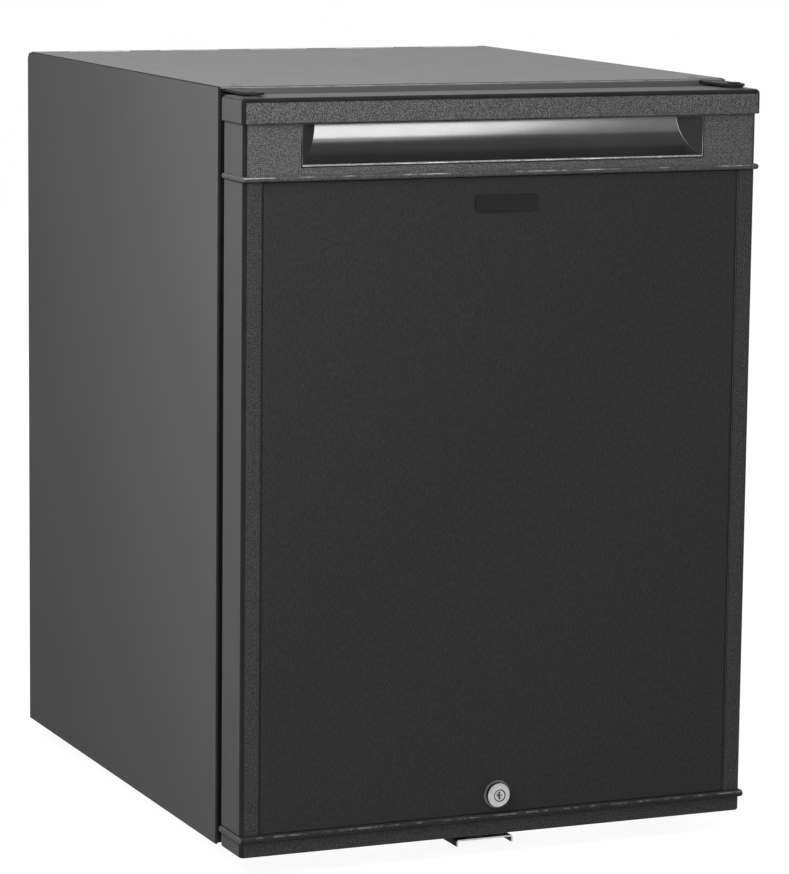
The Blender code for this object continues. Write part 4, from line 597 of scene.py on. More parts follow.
def makeTurned(profile, spot, axis, sides=48, bored=False):  # profile is (radius, place along the axis)
    bm = bmesh.new()
    centre = Vector(onAxis(axis, *spot, 0))
    rings = []
    for radius, along in profile:
        ring = []
        for angle in ringAngles(sides)[: 1 if radius < 1e-6 else sides]:
            a, b = radius * math.cos(angle), radius * math.sin(angle)
            offset = {"X": (along, a, b), "Y": (b, along, a), "Z": (a, b, along)}[axis]
            ring.append(bm.verts.new(centre + Vector(offset)))
        rings.append(ring)
    pairs = list(zip(rings, rings[1:]))
    if bored:
        pairs.append((rings[-1], rings[0]))
    else:
        for ring in (rings[0], rings[-1]):
            if len(ring) > 1:
                bm.faces.new(ring)
    for first, second in pairs:
        for i in range(sides):
            j = (i + 1) % sides
            if len(first) == 1:
                bm.faces.new((first[0], second[j], second[i]))
            elif len(second) == 1:
                bm.faces.new((first[i], first[j], second[0]))
            else:
                bm.faces.new((first[i], first[j], second[j], second[i]))
    return bm


def makeRod(radius, spot, axis, low, high, sides=28):
    return makeTurned([(radius, low), (radius, high)], spot, axis, sides)


def makePipe(corners, bend, steps, radius, sides=20):
    points = [Vector(corners[0])]
    for before, corner, after in zip(corners, corners[1:], corners[2:]):
        corner = Vector(corner)
        arriving = (corner - Vector(before)).normalized()
        leaving = (Vector(after) - corner).normalized()
        turn = arriving.angle(leaving)
        start = corner - arriving * bend * math.tan(turn / 2)
        centre = start + (leaving - arriving * arriving.dot(leaving)).normalized() * bend
        outward = (start - centre).normalized()
        for step in range(steps + 1):
            angle = turn * step / steps
            points.append(centre + bend * (outward * math.cos(angle) + arriving * math.sin(angle)))
    points.append(Vector(corners[-1]))
    ahead = [(after - before).normalized() for before, after in zip(points, points[1:])]
    heading = [ahead[0]] + [(a + b).normalized() for a, b in zip(ahead, ahead[1:])] + [ahead[-1]]
    side = heading[0].orthogonal().normalized()
    rings = []
    for point, along in zip(points, heading):
        side = (side - along * side.dot(along)).normalized()
        other = along.cross(side)
        rings.append([point + radius * (side * math.cos(a) + other * math.sin(a)) for a in ringAngles(sides)])
    return makeLoft(rings)


def sheetOutline(path, thick, bend):  # thick is to the left of the path, or to the right if negative
    spots = [Vector(point) for point in path]
    ways = [(b - a).normalized() for a, b in zip(spots, spots[1:])]
    sides = [Vector((-way.y, way.x)) * thick for way in ways]
    inner = [spots[0] + sides[0]]
    for i in range(1, len(spots) - 1):
        inner.append(spots[i] + (sides[i - 1] + sides[i]) / (1 + sides[i - 1].dot(sides[i]) / thick**2))
    inner.append(spots[-1] + sides[-1])
    found = []
    for line, reverse in ((spots, False), (inner, True)):
        drawn = [tuple(line[0])]
        for i in range(1, len(line) - 1):
            turn = ways[i - 1].cross(ways[i]) * (1 if thick > 0 else -1)
            size = bend if (turn > 0) != reverse else bend - abs(thick)
            drawn += filletPoint(line[i - 1], line[i], line[i + 1], max(size, 0.0002), 5)
        drawn.append(tuple(line[-1]))
        found += reversed(drawn) if reverse else drawn
    return found


def makeSheet(path, thick, bend, axis, low, high):
    return makePrism(sheetOutline(path, thick, bend), axis, low, high)


def cutAway(bm, *tools, join=False):
    def holder(form):
        bmesh.ops.recalc_face_normals(form, faces=form.faces)
        mesh = bpy.data.meshes.new("working")
        form.to_mesh(mesh)
        form.free()
        return addObject("working", mesh)

    body = holder(bm)
    used = [holder(tool) for tool in tools]
    for tool in used:
        step = body.modifiers.new("cut", "BOOLEAN")
        step.operation = "UNION" if join else "DIFFERENCE"
        step.solver = "EXACT"
        step.object = tool
    bpy.context.view_layer.update()
    result = bmesh.new()
    result.from_mesh(body.evaluated_get(bpy.context.evaluated_depsgraph_get()).to_mesh())
    for thing in [body] + used:
        bpy.data.objects.remove(thing)
    return result


def fuse(bm, *parts):
    return cutAway(bm, *parts, join=True)


def softEdges(thing, width):
    soft = thing.modifiers.new("softEdge", "BEVEL")
    soft.width = width
    soft.segments = 2
    soft.limit_method = "ANGLE"
    soft.angle_limit = math.radians(38)
    soft.harden_normals = True


# sort gives a face its finish: 0 is the slot's own, and the others count through extra
def finishPiece(name, bm, node, slot, body="cabinet", extra=(), sort=None, sharp=32, soften=0.0):
    bmesh.ops.remove_doubles(bm, verts=bm.verts, dist=0.000001)
    bmesh.ops.recalc_face_normals(bm, faces=bm.faces)
    mesh = bpy.data.meshes.new(name)
    bm.to_mesh(mesh)
    bm.free()
    for finish in [finishes[slot], *extra]:
        mesh.materials.append(finish)
    if sort:
        for face in mesh.polygons:
            face.material_index = sort(face.normal, face.center)
    mesh.shade_smooth()
    mesh.set_sharp_from_angle(angle=math.radians(sharp))
    piece = addObject(name, mesh)
    if soften:
        softEdges(piece, soften)
    even = piece.modifiers.new("evenShading", "WEIGHTED_NORMAL")  # wide flat faces stay flat
    even.keep_sharp = True
    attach(piece, body)
    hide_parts(node)
    return piece


# cabinet shell

shell = {
    "half": 0.2,
    "thick": 0.001,
    "bend": 0.0018,
    "seam": 0.0006,  # half gap between the top panel and each side
    "sideDrop": 0.0008,
    "frontFold": 0.014,
    "rearFold": 0.012,
    "topFold": 0.012,
    "chamfer": 0.006,
    "rearDrop": 0.008,
    "notchDeep": 0.0022,  # cut-outs through a folded edge
    "notchReach": (0.0013, 0.03),  # from the outer face inwards
    "footNotch": 0.0306,
    "flange": (0.0021, 0.0014),  # faces of the top panel's inner flange, from its end
    "flangeSpan": (0.016, 0.0005),
    "flangeDrop": (0.006, 0.0005),
    "plateSlots": ((0.1857, 0.013), (0.1777, 0.0036)),  # reach and depth, for the hinge plates
    "slotTop": 0.0012,
    "screwSpot": (0.181, 0.017),
    "screwHole": 0.0043,
    "ventCount": 5,
    "ventMiddle": 0.012,
    "ventPitch": 0.077,
    "ventSize": (0.058, 0.009),
    "ventRound": 0.49,
    "ventInset": 0.014,
}
over = 0.001  # how far a cutting form runs past the face that it cuts


def foldSort(normal, centre):  # painted shade: the folded front edge, in the door's shadow, takes the dark corner finish
    return 1 if normal.y < -0.15 else 2


def sidePanel(side):
    name = "side_panel_" + sideName(side).lower()
    low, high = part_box(name)
    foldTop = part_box("handle_profile")[1].z
    outer = side * shell["half"]
    frontIn, rearIn = outer - side * shell["frontFold"], outer - side * shell["rearFold"]
    path = [(frontIn, low.y), (outer, low.y), (outer, high.y), (rearIn, high.y)]
    bm = makeSheet(path, side * shell["thick"], shell["bend"], "Z", low.z, high.z - shell["sideDrop"])
    across = sorted(outer - side * reach for reach in shell["notchReach"])
    front = (low.y - over, low.y + shell["notchDeep"])
    rear = (high.y - shell["notchDeep"], high.y + over)
    drop = shell["chamfer"]
    chamfer = [
        (high.y - drop, high.z),
        (high.y - drop, high.z + 0.002),
        (high.y + 0.002, high.z + 0.002),
        (high.y + 0.002, high.z - drop),
        (high.y, high.z - drop),
    ]
    bm = cutAway(
        bm,
        makeBox(across, front, (foldTop, high.z + over)),
        makeBox(across, front, (low.z - over, low.z + 0.001)),
        makeBox(across, rear, (high.z - drop - shell["rearDrop"] - 0.0003, high.z + over)),
        makeBox(across, rear, (low.z - over, low.z + shell["footNotch"])),
        makePrism(chamfer, "X", -0.21, 0.21),
    )
    extra = [profileTrims[1], sideLitPaint]
    label = "sidePanel" + sideName(side)
    finishPiece(label, bm, name, "painted_steel", extra=extra, sort=foldSort, soften=0.0003)


def topPanel():
    low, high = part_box("top_panel")
    half = high.x - shell["seam"] + 0.0003
    drop = shell["chamfer"]
    path = [
        (low.y, high.z - shell["topFold"]),
        (low.y, high.z),
        (high.y - drop, high.z),
        (high.y, high.z - drop),
        (high.y, high.z - drop - shell["rearDrop"]),
    ]
    bm = makeSheet(path, -shell["thick"], shell["bend"], "X", -half, half)
    flanges, tools = [], []
    front, back = shell["flangeSpan"]
    notch = (low.y - over, low.y + shell["notchDeep"])
    for side in (-1, 1):
        across = sorted(side * (half - face) for face in shell["flange"])
        tall = (high.z - shell["flangeDrop"][0], high.z - shell["flangeDrop"][1])
        flanges.append(makeBox(across, (low.y + front, high.y - drop - back), tall))
        for reach, deep in shell["plateSlots"]:
            tall = (high.z - deep, high.z - shell["slotTop"])
            tools.append(makeBox(sideways(side, reach, 0.21), notch, tall))
        spot = (side * shell["screwSpot"][0], low.y + shell["screwSpot"][1])
        hole = arcPoints(spot, shell["screwHole"], 0, 360, 28)[:-1]
        tools.append(makePrism(hole, "Z", high.z - 0.004, high.z + 0.002))
    long, wide = shell["ventSize"]
    for index in range(shell["ventCount"]):
        middle = shell["ventMiddle"] + (index - (shell["ventCount"] - 1) / 2) * shell["ventPitch"]
        across, along = span(middle, long), span(high.y - shell["ventInset"], wide)
        slot = rectPlan(*across, *along, wide * shell["ventRound"], 7)
        tools.append(makePrism(slot(), "Z", high.z - 0.004, high.z + 0.002))

    def sort(normal, centre):  # painted shade in the seams and on the bend's upper facets, a painted highlight on the bend, and the bare slot walls painted pale as a highlight
        if abs(normal.x) > 0.9 or 0.1 < -normal.y < 0.5:
            return 1
        if 0.6 < -normal.y < 0.95:
            return 2
        return 3 if abs(normal.z) < 0.3 and low.y + 0.03 < centre.y < high.y - drop - 0.002 else 0

    bm = cutAway(fuse(bm, *flanges), *tools)
    finishPiece("topPanel", bm, "top_panel", "painted_steel", extra=bendShadeAndGlints, sort=sort, soften=0.0003)


sidePanel(-1)
sidePanel(1)
topPanel()
print("cabinet shell folded")


# door front

door = {
    "wide": 0.202,
    "bodyHalf": 0.200,
    "proud": 0.003,
    "corner": 0.0038,
    "rearCorner": 0.0006,
    "lipHeight": 0.018,
    "beadHeight": 0.004,
    "beadCorner": 0.0026,
    "lowBeadHeight": 0.005,
    "window": (0.1573, 0.021, 0.0313),  # opening for the recess: half width, depth and height
    "recessHalf": 0.156,
    "recessHeight": 0.029,
    "recessDepth": 0.0142,
    "rimGlintStrip": 0.0007,  # lowest strip of the curve, painted with the bead's highlight streaks
    "panelEdge": 0.0005,
    "grooveReach": (0.1840, 0.1859),
    "lockHole": 0.0078,
    "bushHole": 0.0053,
    "stile": 0.014,
    "stileWall": 0.002,
    "camSlot": ((-0.030, 0.0075), (-0.2156, -0.2103)),
    "camPocket": ((-0.041, 0.018), (-0.2375, -0.2075)),
}

gasketFolds = [  # inset and depth, from the inner front corner round the bellows
    (0.0020, 0.0),
    (0.0120, 0.0),
    (0.0120, 0.0015),
    (0.0105, 0.0030),
    (0.0130, 0.0045),
    (0.0105, 0.0060),
    (0.0140, 0.0075),
    (0.0000, 0.0075),
    (0.0030, 0.0060),
    (0.0005, 0.0045),
    (0.0030, 0.0030),
    (0.0020, 0.0015),
]
gasketFoot = [(0.0140, 0.0004), (0.0136, 0.0), (0.0004, 0.0), (0.0000, 0.0004)]  # the same, from its back

pinSpot = (0.188, -0.22545)
lockSpot = (0.0, 0.046)


def profileSort(normal, centre):  # grained front, painted shade on the rounded corner, plain sides and top
    if abs(normal.x) > 0.94 or abs(normal.z) > 0.985 or normal.y > 0.3:
        return 1
    if abs(normal.x) > 0.22 or normal.z > 0.12:
        return 2
    return 0


def beadSort(normal, grain):
    return grain if abs(normal.x) < 0.5 else 1


def stileSort(normal, centre):
    return profileSort(normal, centre) or 4


def frontBar(half, front, back, low, high, softLow, softHigh, corner):
    corners = [(-half, front), (half, front), (half, back), (-half, back)]
    outline = plan(corners, [corner, corner, door["rearCorner"], door["rearCorner"]], 6)
    return makeSlab(outline, "Z", softLevels(low, high, softLow, softHigh, 4))


def finishProfile(label, bm, name, sort):
    finishPiece(label, bm, name, "grained_plastic", "door", profileTrims, sort, sharp=40)


def handleProfile():
    low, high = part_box("handle_profile")
    back, front, corner = high.y, low.y + door["proud"], door["corner"]
    beadTop = low.z + door["beadHeight"]
    lipLow = high.z - door["lipHeight"]
    lip = frontBar(door["wide"], low.y, back, lipLow, high.z, 0.0008, 0.0034, corner)
    body = frontBar(door["bodyHalf"], front, back, beadTop - 0.001, lipLow + 0.001, 0.0002, 0.0002, corner)
    bead = frontBar(door["wide"], low.y, back, low.z, beadTop, 0.0016, 0.0018, door["beadCorner"])
    half, deep, tall = door["window"]
    window = makeBox((-half, half), (low.y - 0.002, low.y + deep), (lipLow - tall, lipLow - 0.0001))
    bore = makeRod(door["bushHole"], pinSpot, "Z", high.z - 0.013, high.z + 0.002)

    def sort(normal, centre):
        return beadSort(normal, 3) if centre.z < beadTop + 0.0002 else profileSort(normal, centre)

    finishProfile("handleProfile", cutAway(fuse(body, lip, bead), window, bore), "handle_profile", sort)


def handleScoop():
    low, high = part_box("handle_scoop")
    depth, height, half = door["recessDepth"], door["recessHeight"], door["recessHalf"]
    top = high.z - 0.0007
    foot = top - height
    radius = (depth**2 + height**2) / (2 * depth)
    sweep = math.degrees(math.asin(height / radius))
    section = arcPoints((depth - radius, top), radius, -sweep, 0, 26) + [(-0.002, top), (-0.002, foot)]
    trough = makeLoft([[(side * (half - way), low.y + way, z) for way, z in section] for side in (-1, 1)])
    bm = cutAway(makeBox((low.x, high.x), (low.y, high.y), (low.z, high.z)), trough)

    # painted highlight: the rim strip takes the bead's glint finish
    def sort(normal, centre):
        return 3 if normal.z > 0.5 and foot < centre.z < foot + door["rimGlintStrip"] else 0

    look = {"extra": profileTrims, "sort": sort, "sharp": 24, "soften": 0.0002}
    lightRecess(finishPiece("fingerRecess", bm, "handle_scoop", "gloss_black", "door", **look))


def frontPanel():
    low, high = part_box("door_panel")
    outline = frontPlan(low, high, 0.0004, 2)
    bm = makeSlab(outline, "Y", softLevels(low.y, high.y, door["panelEdge"]))
    hole = makeRod(door["lockHole"], lockSpot, "Y", low.y - 0.002, high.y + 0.002, 40)
    depth = (low.y + 0.0009, high.y - 0.0001)
    strips = [  # dark backing behind the open groove beside each stile
        makeBox(sideways(side, *door["grooveReach"]), depth, (low.z, high.z)) for side in (-1, 1)
    ]
    finishPiece("frontPanel", fuse(cutAway(bm, hole), *strips), "door_panel", "door_skin", "door")
    low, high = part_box("badge_plate")
    outline = frontPlan(low, high, 0.0015)
    bm = makeSlab(outline, "Y", softLevels(low.y, high.y, 0.0003))
    finishPiece("barePlate", bm, "badge_plate", "gloss_black", "door")


def doorStile(side):
    name = "door_stile_" + sideName(side).lower()
    low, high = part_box(name)
    outer, inner = side * door["bodyHalf"], side * (door["bodyHalf"] - door["stile"])
    wall = door["stileWall"]
    inside = outer - side * wall
    points = [(inner, low.y), (outer, low.y), (outer, high.y), (inner, high.y)]
    points += [(inner, high.y - wall), (inside, high.y - wall), (inside, low.y + wall), (inner, low.y + wall)]
    outline = plan(points, [0.0006, door["corner"], 0.0006, 0, 0, 0, 0.0012, 0], 6)
    bm = makeSlab(outline, "Z", softLevels(low.z, high.z, 0.0002, steps=2))
    finishProfile("doorStile" + sideName(side), bm, name, stileSort)


def bottomProfile():
    low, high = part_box("door_bottom_profile")
    front, beadLow = low.y + door["proud"], high.z - door["lowBeadHeight"]
    body = frontBar(door["bodyHalf"], front, high.y, low.z, beadLow + 0.001, 0.0018, 0.0002, door["corner"])
    bead = frontBar(door["wide"], low.y, high.y, beadLow, high.z, 0.0018, 0.0022, door["beadCorner"])
    slot = makeBox(*door["camSlot"], (low.z - over, high.z + over))
    pocket = makeBox(*door["camPocket"], (low.z + 0.002, high.z + over))
    bore = makeRod(door["bushHole"], pinSpot, "Z", low.z - 0.002, low.z + 0.012)

    def sort(normal, centre):
        return beadSort(normal, 5) if centre.z > beadLow - 0.0002 else stileSort(normal, centre)

    finishProfile("bottomProfile", cutAway(fuse(body, bead), slot, pocket, bore), "door_bottom_profile", sort)


def doorGasket():
    low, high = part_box("door_gasket")
    folds = [(inset, low.y + deep) for inset, deep in gasketFolds]
    foot = [(inset, high.y - deep) for inset, deep in gasketFoot]
    bm = makeFrame(folds[:7] + foot + folds[7:], frontPlan(low, high, 0.002))
    finishPiece("bellowsGasket", bm, "door_gasket", "black_rubber", "door", sharp=50)


handleProfile()
handleScoop()
frontPanel()
doorStile(-1)
doorStile(1)
bottomProfile()
doorGasket()
print("door front shaped")


# lock and strike

camLock = {
    "faceRadius": 0.0092,
    "ringRadius": 0.0107,
    "neckRadius": 0.0075,
    "panelDeep": 0.0055,
    "plugRadius": 0.0040,
    "plugGap": 0.0002,
    "tailRadius": 0.0030,
    "tailLong": 0.0036,
    "keyway": ((0.0014, 0.0058, 0.006), (0.0044, 0.0010, 0.004)),  # slot and ward: wide, tall and deep
}

strike = {
    "thick": 0.0012,
    "bend": 0.0016,
    "plateHigh": 0.005,
    "stepPlace": -0.18845,
    "flangeWide": 0.004,
    "edge": 0.0010,
    "slot": (-0.0158, 0.008, -0.21505, -0.21085),
    "slotRound": 0.0020,
}


def lockHousing():
    low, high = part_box("lock_housing")
    face, ring, neck = camLock["faceRadius"], camLock["ringRadius"], camLock["neckRadius"]
    plug = camLock["plugRadius"] + camLock["plugGap"]
    panel = low.y + camLock["panelDeep"]
    profile = [
        (plug, low.y + 0.0006),
        (plug + 0.0004, low.y),
        (face - 0.0020, low.y),
        (face - 0.0014, low.y + 0.0002),
        (face - 0.0003, low.y + 0.0011),
        (face, low.y + 0.0018),
        (face, panel - 0.0016),
        (ring - 0.0004, panel - 0.0013),
        (ring, panel - 0.0009),
        (ring, panel - 0.0003),
        (neck, panel - 0.0003),
        (neck, high.y),
        (plug, high.y),
    ]

    def sort(normal, centre):  # painted shade: the flanks take the darker copy of the chrome
        return 1 if abs(normal.y) < 0.6 or centre.y > low.y + 0.003 else 0

    bm = makeTurned(profile, lockSpot, "Y", 56, bored=True)
    finishPiece("lockHousing", bm, "lock_housing", "chrome", "door", [flankShadeChrome], sort, sharp=28)


def lockPlug():
    low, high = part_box("lock_cylinder")
    plug, tail = camLock["plugRadius"], camLock["tailRadius"]
    shoulder = high.y - camLock["tailLong"]
    profile = [(0.0, low.y + 0.0012), (0.0012, low.y + 0.0012), (0.0030, low.y + 0.0002), (0.0034, low.y)]
    profile += [(plug - 0.0002, low.y), (plug, low.y + 0.0003), (plug, shoulder)]
    profile += [(tail, shoulder), (tail, high.y), (0.0, high.y)]
    keyway = [
        makeBox(span(0, wide), (low.y - over, low.y + deep), span(lockSpot[1], tall))
        for wide, tall, deep in camLock["keyway"]
    ]
    bm = cutAway(makeTurned(profile, lockSpot, "Y"), *keyway)
    finishPiece("lockPlug", bm, "lock_cylinder", "chrome", "lock", sharp=28)


def lockCam():
    low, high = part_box("lock_cam")
    half = (high.z - low.z) / 2
    middle = (high.z + low.z) / 2
    points = arcPoints((0, middle), half, -90, 90, 16) + arcPoints((low.x + half, middle), half, 90, 270, 16)
    bm = makePrism(points, "Y", low.y, high.y)
    finishPiece("lockCam", bm, "lock_cam", "galvanised", "lock", soften=0.0003)


def strikeBracket():
    low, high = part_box("strike_bracket")
    thick, bend, step, edge = (strike[key] for key in ("thick", "bend", "stepPlace", "edge"))
    plateTop = low.z + strike["plateHigh"]
    path = [(low.y, plateTop), (step, plateTop), (step, high.z), (high.y, high.z)]
    bm = makeSheet(path, -thick, bend, "X", low.x + edge, high.x - edge)
    flanges = []
    for side in (-1, 1):
        outer = side * high.x
        across = [(outer, low.z), (outer, plateTop), (side * (high.x - strike["flangeWide"]), plateTop)]
        flanges.append(makeSheet(across, side * thick, bend, "Y", low.y, step + thick))
    slot = makePrism(rectPlan(*strike["slot"], strike["slotRound"], 5)(), "Z", low.z, plateTop + over)

    def sort(normal, centre):  # painted black, with the cut front edge left bare
        return 0 if normal.y < -0.8 and centre.y < low.y + 0.001 else 1

    look = {"extra": [finishes["hinge_steel"]], "sort": sort, "soften": 0.0002}
    finishPiece("strikeBracket", cutAway(fuse(bm, *flanges), slot), "strike_bracket", "galvanised", **look)


lockHousing()
lockPlug()
lockCam()
strikeBracket()
print("lock and strike turned and folded")


# hinge plates, pins, screws and bushes

hinges = {
    "arm": 0.008,
    "footWide": 0.036,
    "armInset": 0.022,
    "footDeep": 0.036,
    "step": 0.002,
    "plateEnd": 0.1984,
    "lowerArm": 0.0055,
    "lowerStep": 0.004,
    "pinHole": 0.0033,
    "pin": 0.003,
    "pinTip": 0.0024,
    "pinHead": 0.0051,
    "screwHole": 0.0023,
    "screwHead": 0.004,
    "headHigh": 0.0013,
    "cross": (0.0019, 0.0004, 0.0010),  # arm, half width and depth of the screw's recess
    "bush": (0.00306, 0.005, 0.007),  # bore, sleeve and flange radius
}


def armOutline(start, radius, end):
    away = Vector(start) - Vector(pinSpot)
    touching = math.degrees(math.atan2(away.y, away.x) + math.acos(radius / away.length))
    return [start] + arcPoints(pinSpot, radius, touching, 360, 22) + [end]


def topPlate(side):
    name = "spare_hinge_plate_left" if side < 0 else "hinge_plate_top"
    low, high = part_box(name)
    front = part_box("top_panel")[0].y
    wide, arm = shell["half"] - hinges["footWide"], shell["half"] - hinges["armInset"]
    outer, back, step = hinges["plateEnd"], front + hinges["footDeep"], hinges["step"]
    points = [(wide, back), (wide, front + step), (arm, front + step)]
    points += armOutline((arm, front - step), hinges["arm"], (pinSpot[0] + hinges["arm"], front - step))
    points += [(outer, front + step), (outer, back)]
    bm = makePrism([(side * x, y) for x, y in points], "Z", low.z, high.z)
    screw = (side * shell["screwSpot"][0], front + shell["screwSpot"][1])
    bore = makeRod(hinges["pinHole"], (side * pinSpot[0], pinSpot[1]), "Z", low.z - over, high.z + over)
    bm = cutAway(bm, bore, makeRod(hinges["screwHole"], screw, "Z", low.z - over, high.z + over, 24))
    label = "sparePlateLeft" if side < 0 else "hingePlateTop"
    finishPiece(label, bm, name, "hinge_steel", soften=0.0003)


def lowerPlate():
    low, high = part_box("hinge_plate_bottom")
    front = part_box("top_panel")[0].y
    arm, back = hinges["lowerArm"], front + hinges["lowerStep"]
    points = [(low.x, high.y)] + armOutline((low.x, back), arm, (pinSpot[0] + arm, front))
    points += [(high.x, back), (high.x, high.y)]
    bm = makePrism(points, "Z", low.z, high.z)
    bm = cutAway(bm, makeRod(hinges["pinHole"], pinSpot, "Z", low.z - over, high.z + over))
    finishPiece("hingePlateBottom", bm, "hinge_plate_bottom", "hinge_steel", soften=0.0003)


def hingePins():
    pin, tip, wide = hinges["pin"], hinges["pinTip"], hinges["pinHead"]
    low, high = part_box("hinge_pin_top")
    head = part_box("hinge_plate_top")[1].z + 0.0003
    profile = [(0.0, low.z), (tip, low.z), (pin, low.z + 0.0008), (pin, head), (wide, head)]
    profile += [(wide, high.z - 0.0005), (wide - 0.0005, high.z - 0.0001), (pin, high.z), (0.0, high.z)]
    finishPiece("hingePinTop", makeTurned(profile, pinSpot, "Z", 36), "hinge_pin_top", "hinge_steel")
    low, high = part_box("hinge_pin_bottom")
    profile = [(0.0, low.z), (pin, low.z), (pin, high.z - 0.0008), (tip, high.z), (0.0, high.z)]
    finishPiece("hingePinBottom", makeTurned(profile, pinSpot, "Z", 36), "hinge_pin_bottom", "hinge_steel")


def topScrew(side):
    name = "top_screw_" + sideName(side).lower()
    low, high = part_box(name)
    x, y = side * shell["screwSpot"][0], (low.y + high.y) / 2
    head, wide = high.z - hinges["headHigh"], hinges["screwHead"]
    profile = [(0.0, low.z), (0.0012, low.z), (0.002, low.z + 0.0012), (0.002, head), (wide, head)]
    profile += [(wide, high.z - 0.0005), (0.0034, high.z - 0.0001), (0.0026, high.z), (0.0, high.z)]
    arm, thin, deep = hinges["cross"]
    cross = []
    for long, short in ((arm, thin), (thin, arm)):
        cross.append(makeBox((x - long, x + long), (y - short, y + short), (high.z - deep, high.z + over)))
    bm = cutAway(makeTurned(profile, (x, y), "Z", 32), *cross)
    finishPiece("topScrew" + sideName(side), bm, name, "hinge_steel")


def hingeBush(level, profile):
    bm = makeTurned(profile, pinSpot, "Z", 40, bored=True)
    finishPiece("hingeBush" + level.capitalize(), bm, "hinge_bush_" + level, "black_plastic", "door")


def upperBush():
    bore, sleeve, flange = hinges["bush"]
    low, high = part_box("hinge_bush_top")
    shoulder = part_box("handle_profile")[1].z + 0.0003
    profile = [(bore, high.z), (flange - 0.0003, high.z), (flange, (high.z + shoulder) / 2)]
    profile += [(flange, shoulder), (sleeve, shoulder), (sleeve, low.z), (bore, low.z)]
    hingeBush("top", profile)


def lowerBush():
    bore, sleeve, flange = hinges["bush"]
    low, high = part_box("hinge_bush_bottom")
    web = low.z + 0.0023
    profile = [(bore, low.z), (sleeve, low.z), (sleeve, web), (flange - 0.0003, web), (flange, web + 0.0003)]
    profile += [(flange, web + 0.0012), (flange - 0.0003, web + 0.0015), (sleeve, web + 0.0015)]
    profile += [(sleeve, high.z), (bore, high.z)]
    hingeBush("bottom", profile)


topPlate(-1)
topPlate(1)
lowerPlate()
hingePins()
topScrew(-1)
topScrew(1)
upperBush()
print("hinges fitted")


# compartment: liner, shelves and fittings

compartment = {
    "wall": 0.0015,
    "corner": 0.011,
    "backCorner": 0.010,
    "rib": 0.006,
    "ribReach": (-0.14445, 0.0912),
    "ribRound": 0.0015,
    "flangeReach": (0.0004, 0.0018),  # depth of the square flange behind the front frame
    "pipeHole": 0.0063,
    "drainHole": 0.0038,
    "rim": 0.005,
    "bar": 0.003,
    "barCount": 13,
    "shelfCorners": (0.004, 0.004, 0.009, 0.009),
    "cupCorner": 0.004,
    "cupFoot": 0.003,
    "drainTube": (0.0035, 0.0020),  # outer and inner radius
    "tubeReach": (0.09775, 0.16305),
}

thermostat = {
    "knobHole": 0.0045,
    "knobRadius": 0.014,
    "knobLong": 0.013,
    "spindle": 0.0042,
    "ridges": 18,
    "ridgeDeep": 0.0004,
    "pointer": (0.0012, 0.0017, (0.004, 0.0122)),  # wide, deep and its reach from the middle
    "markCount": 7,
    "markTurn": 40,
    "markReach": (0.0156, 0.0188),
    "markWide": (0.0003, 0.0001),  # half width of the first, and what each next one adds
    "markDeep": 0.0003,
}

pipeSpot = (0.0, 0.462)
drainSpot = (-0.060, 0.4357)
knobSpot = (0.1472, 0.470)


def innerLiner():
    low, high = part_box("inner_liner")
    wall, rib, corner = compartment["wall"], compartment["rib"], compartment["corner"] + compartment["wall"]
    levels = cupLevels(-high.y, -low.y, wall, compartment["backCorner"] + wall, 5)
    outline = frontPlan(low, high, corner, 6)
    bm = makeSlab(outline, "Y", [(-place, inset) for place, inset in levels])
    ribs = []
    for name in ("shelf_lower", "shelf_upper"):
        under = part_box(name)[0].z - 0.0003
        tall = (under - rib, under)
        for side in (-1, 1):
            across = sideways(side, high.x - wall - rib, high.x - 0.0001)
            ribs.append(makeBox(across, compartment["ribReach"], tall, compartment["ribRound"]))
    front, back = compartment["flangeReach"]
    square = frontPlan(low, high, 0.0004, 2)
    flange = makePrism(square(), "Y", low.y + front, low.y + back)
    edge = wall * 0.5  # its throat lies half way through the liner's wall
    inside = rectPlan(low.x + edge, high.x - edge, low.z + edge, high.z - edge, corner - edge, 6)
    flange = cutAway(flange, makePrism(inside(), "Y", low.y - over, low.y + 0.004))
    holes = [
        makeRod(compartment[size], spot, "Y", high.y - 0.01, high.y + 0.01)
        for size, spot in (("pipeHole", pipeSpot), ("drainHole", drainSpot))
    ]
    bm = cutAway(fuse(bm, flange, *ribs), *holes)
    finishPiece("innerLiner", bm, "inner_liner", "white_plastic", sharp=40)


def shelf(level):
    name = "shelf_" + level
    low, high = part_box(name)
    rim, bar, count = compartment["rim"], compartment["bar"], compartment["barCount"]
    section = rectPlan(0, rim, low.z, high.z, 0.0012, 3)()
    bm = makeFrame(section, topPlan(low, high, compartment["shelfCorners"], 5), "Z")
    pitch = (high.x - low.x - 2 * rim) / (count + 1)
    tall = (low.z + 0.0002, high.z - 0.0002)
    sunk = rim - 0.0015  # how far the bars run into the rim
    bars = [makeBox((low.x + sunk, high.x - sunk), span((low.y + high.y) / 2, bar), tall, 0.0010)]
    tall = (tall[0] - 0.0001, tall[1] + 0.0001)
    for index in range(count):
        across = span(low.x + rim + pitch * (index + 1), bar)
        bars.append(makeBox(across, (low.y + sunk, high.y - sunk), tall, 0.0012))
    finishPiece("shelfGrid" + level.capitalize(), fuse(bm, *bars), name, "white_plastic", name, sharp=40)


def dripCup(name):
    low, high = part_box(name)
    outline = topPlan(low, high, compartment["cupCorner"], 4)
    return makeSlab(outline, "Z", cupLevels(low.z, high.z, compartment["wall"], compartment["cupFoot"]))


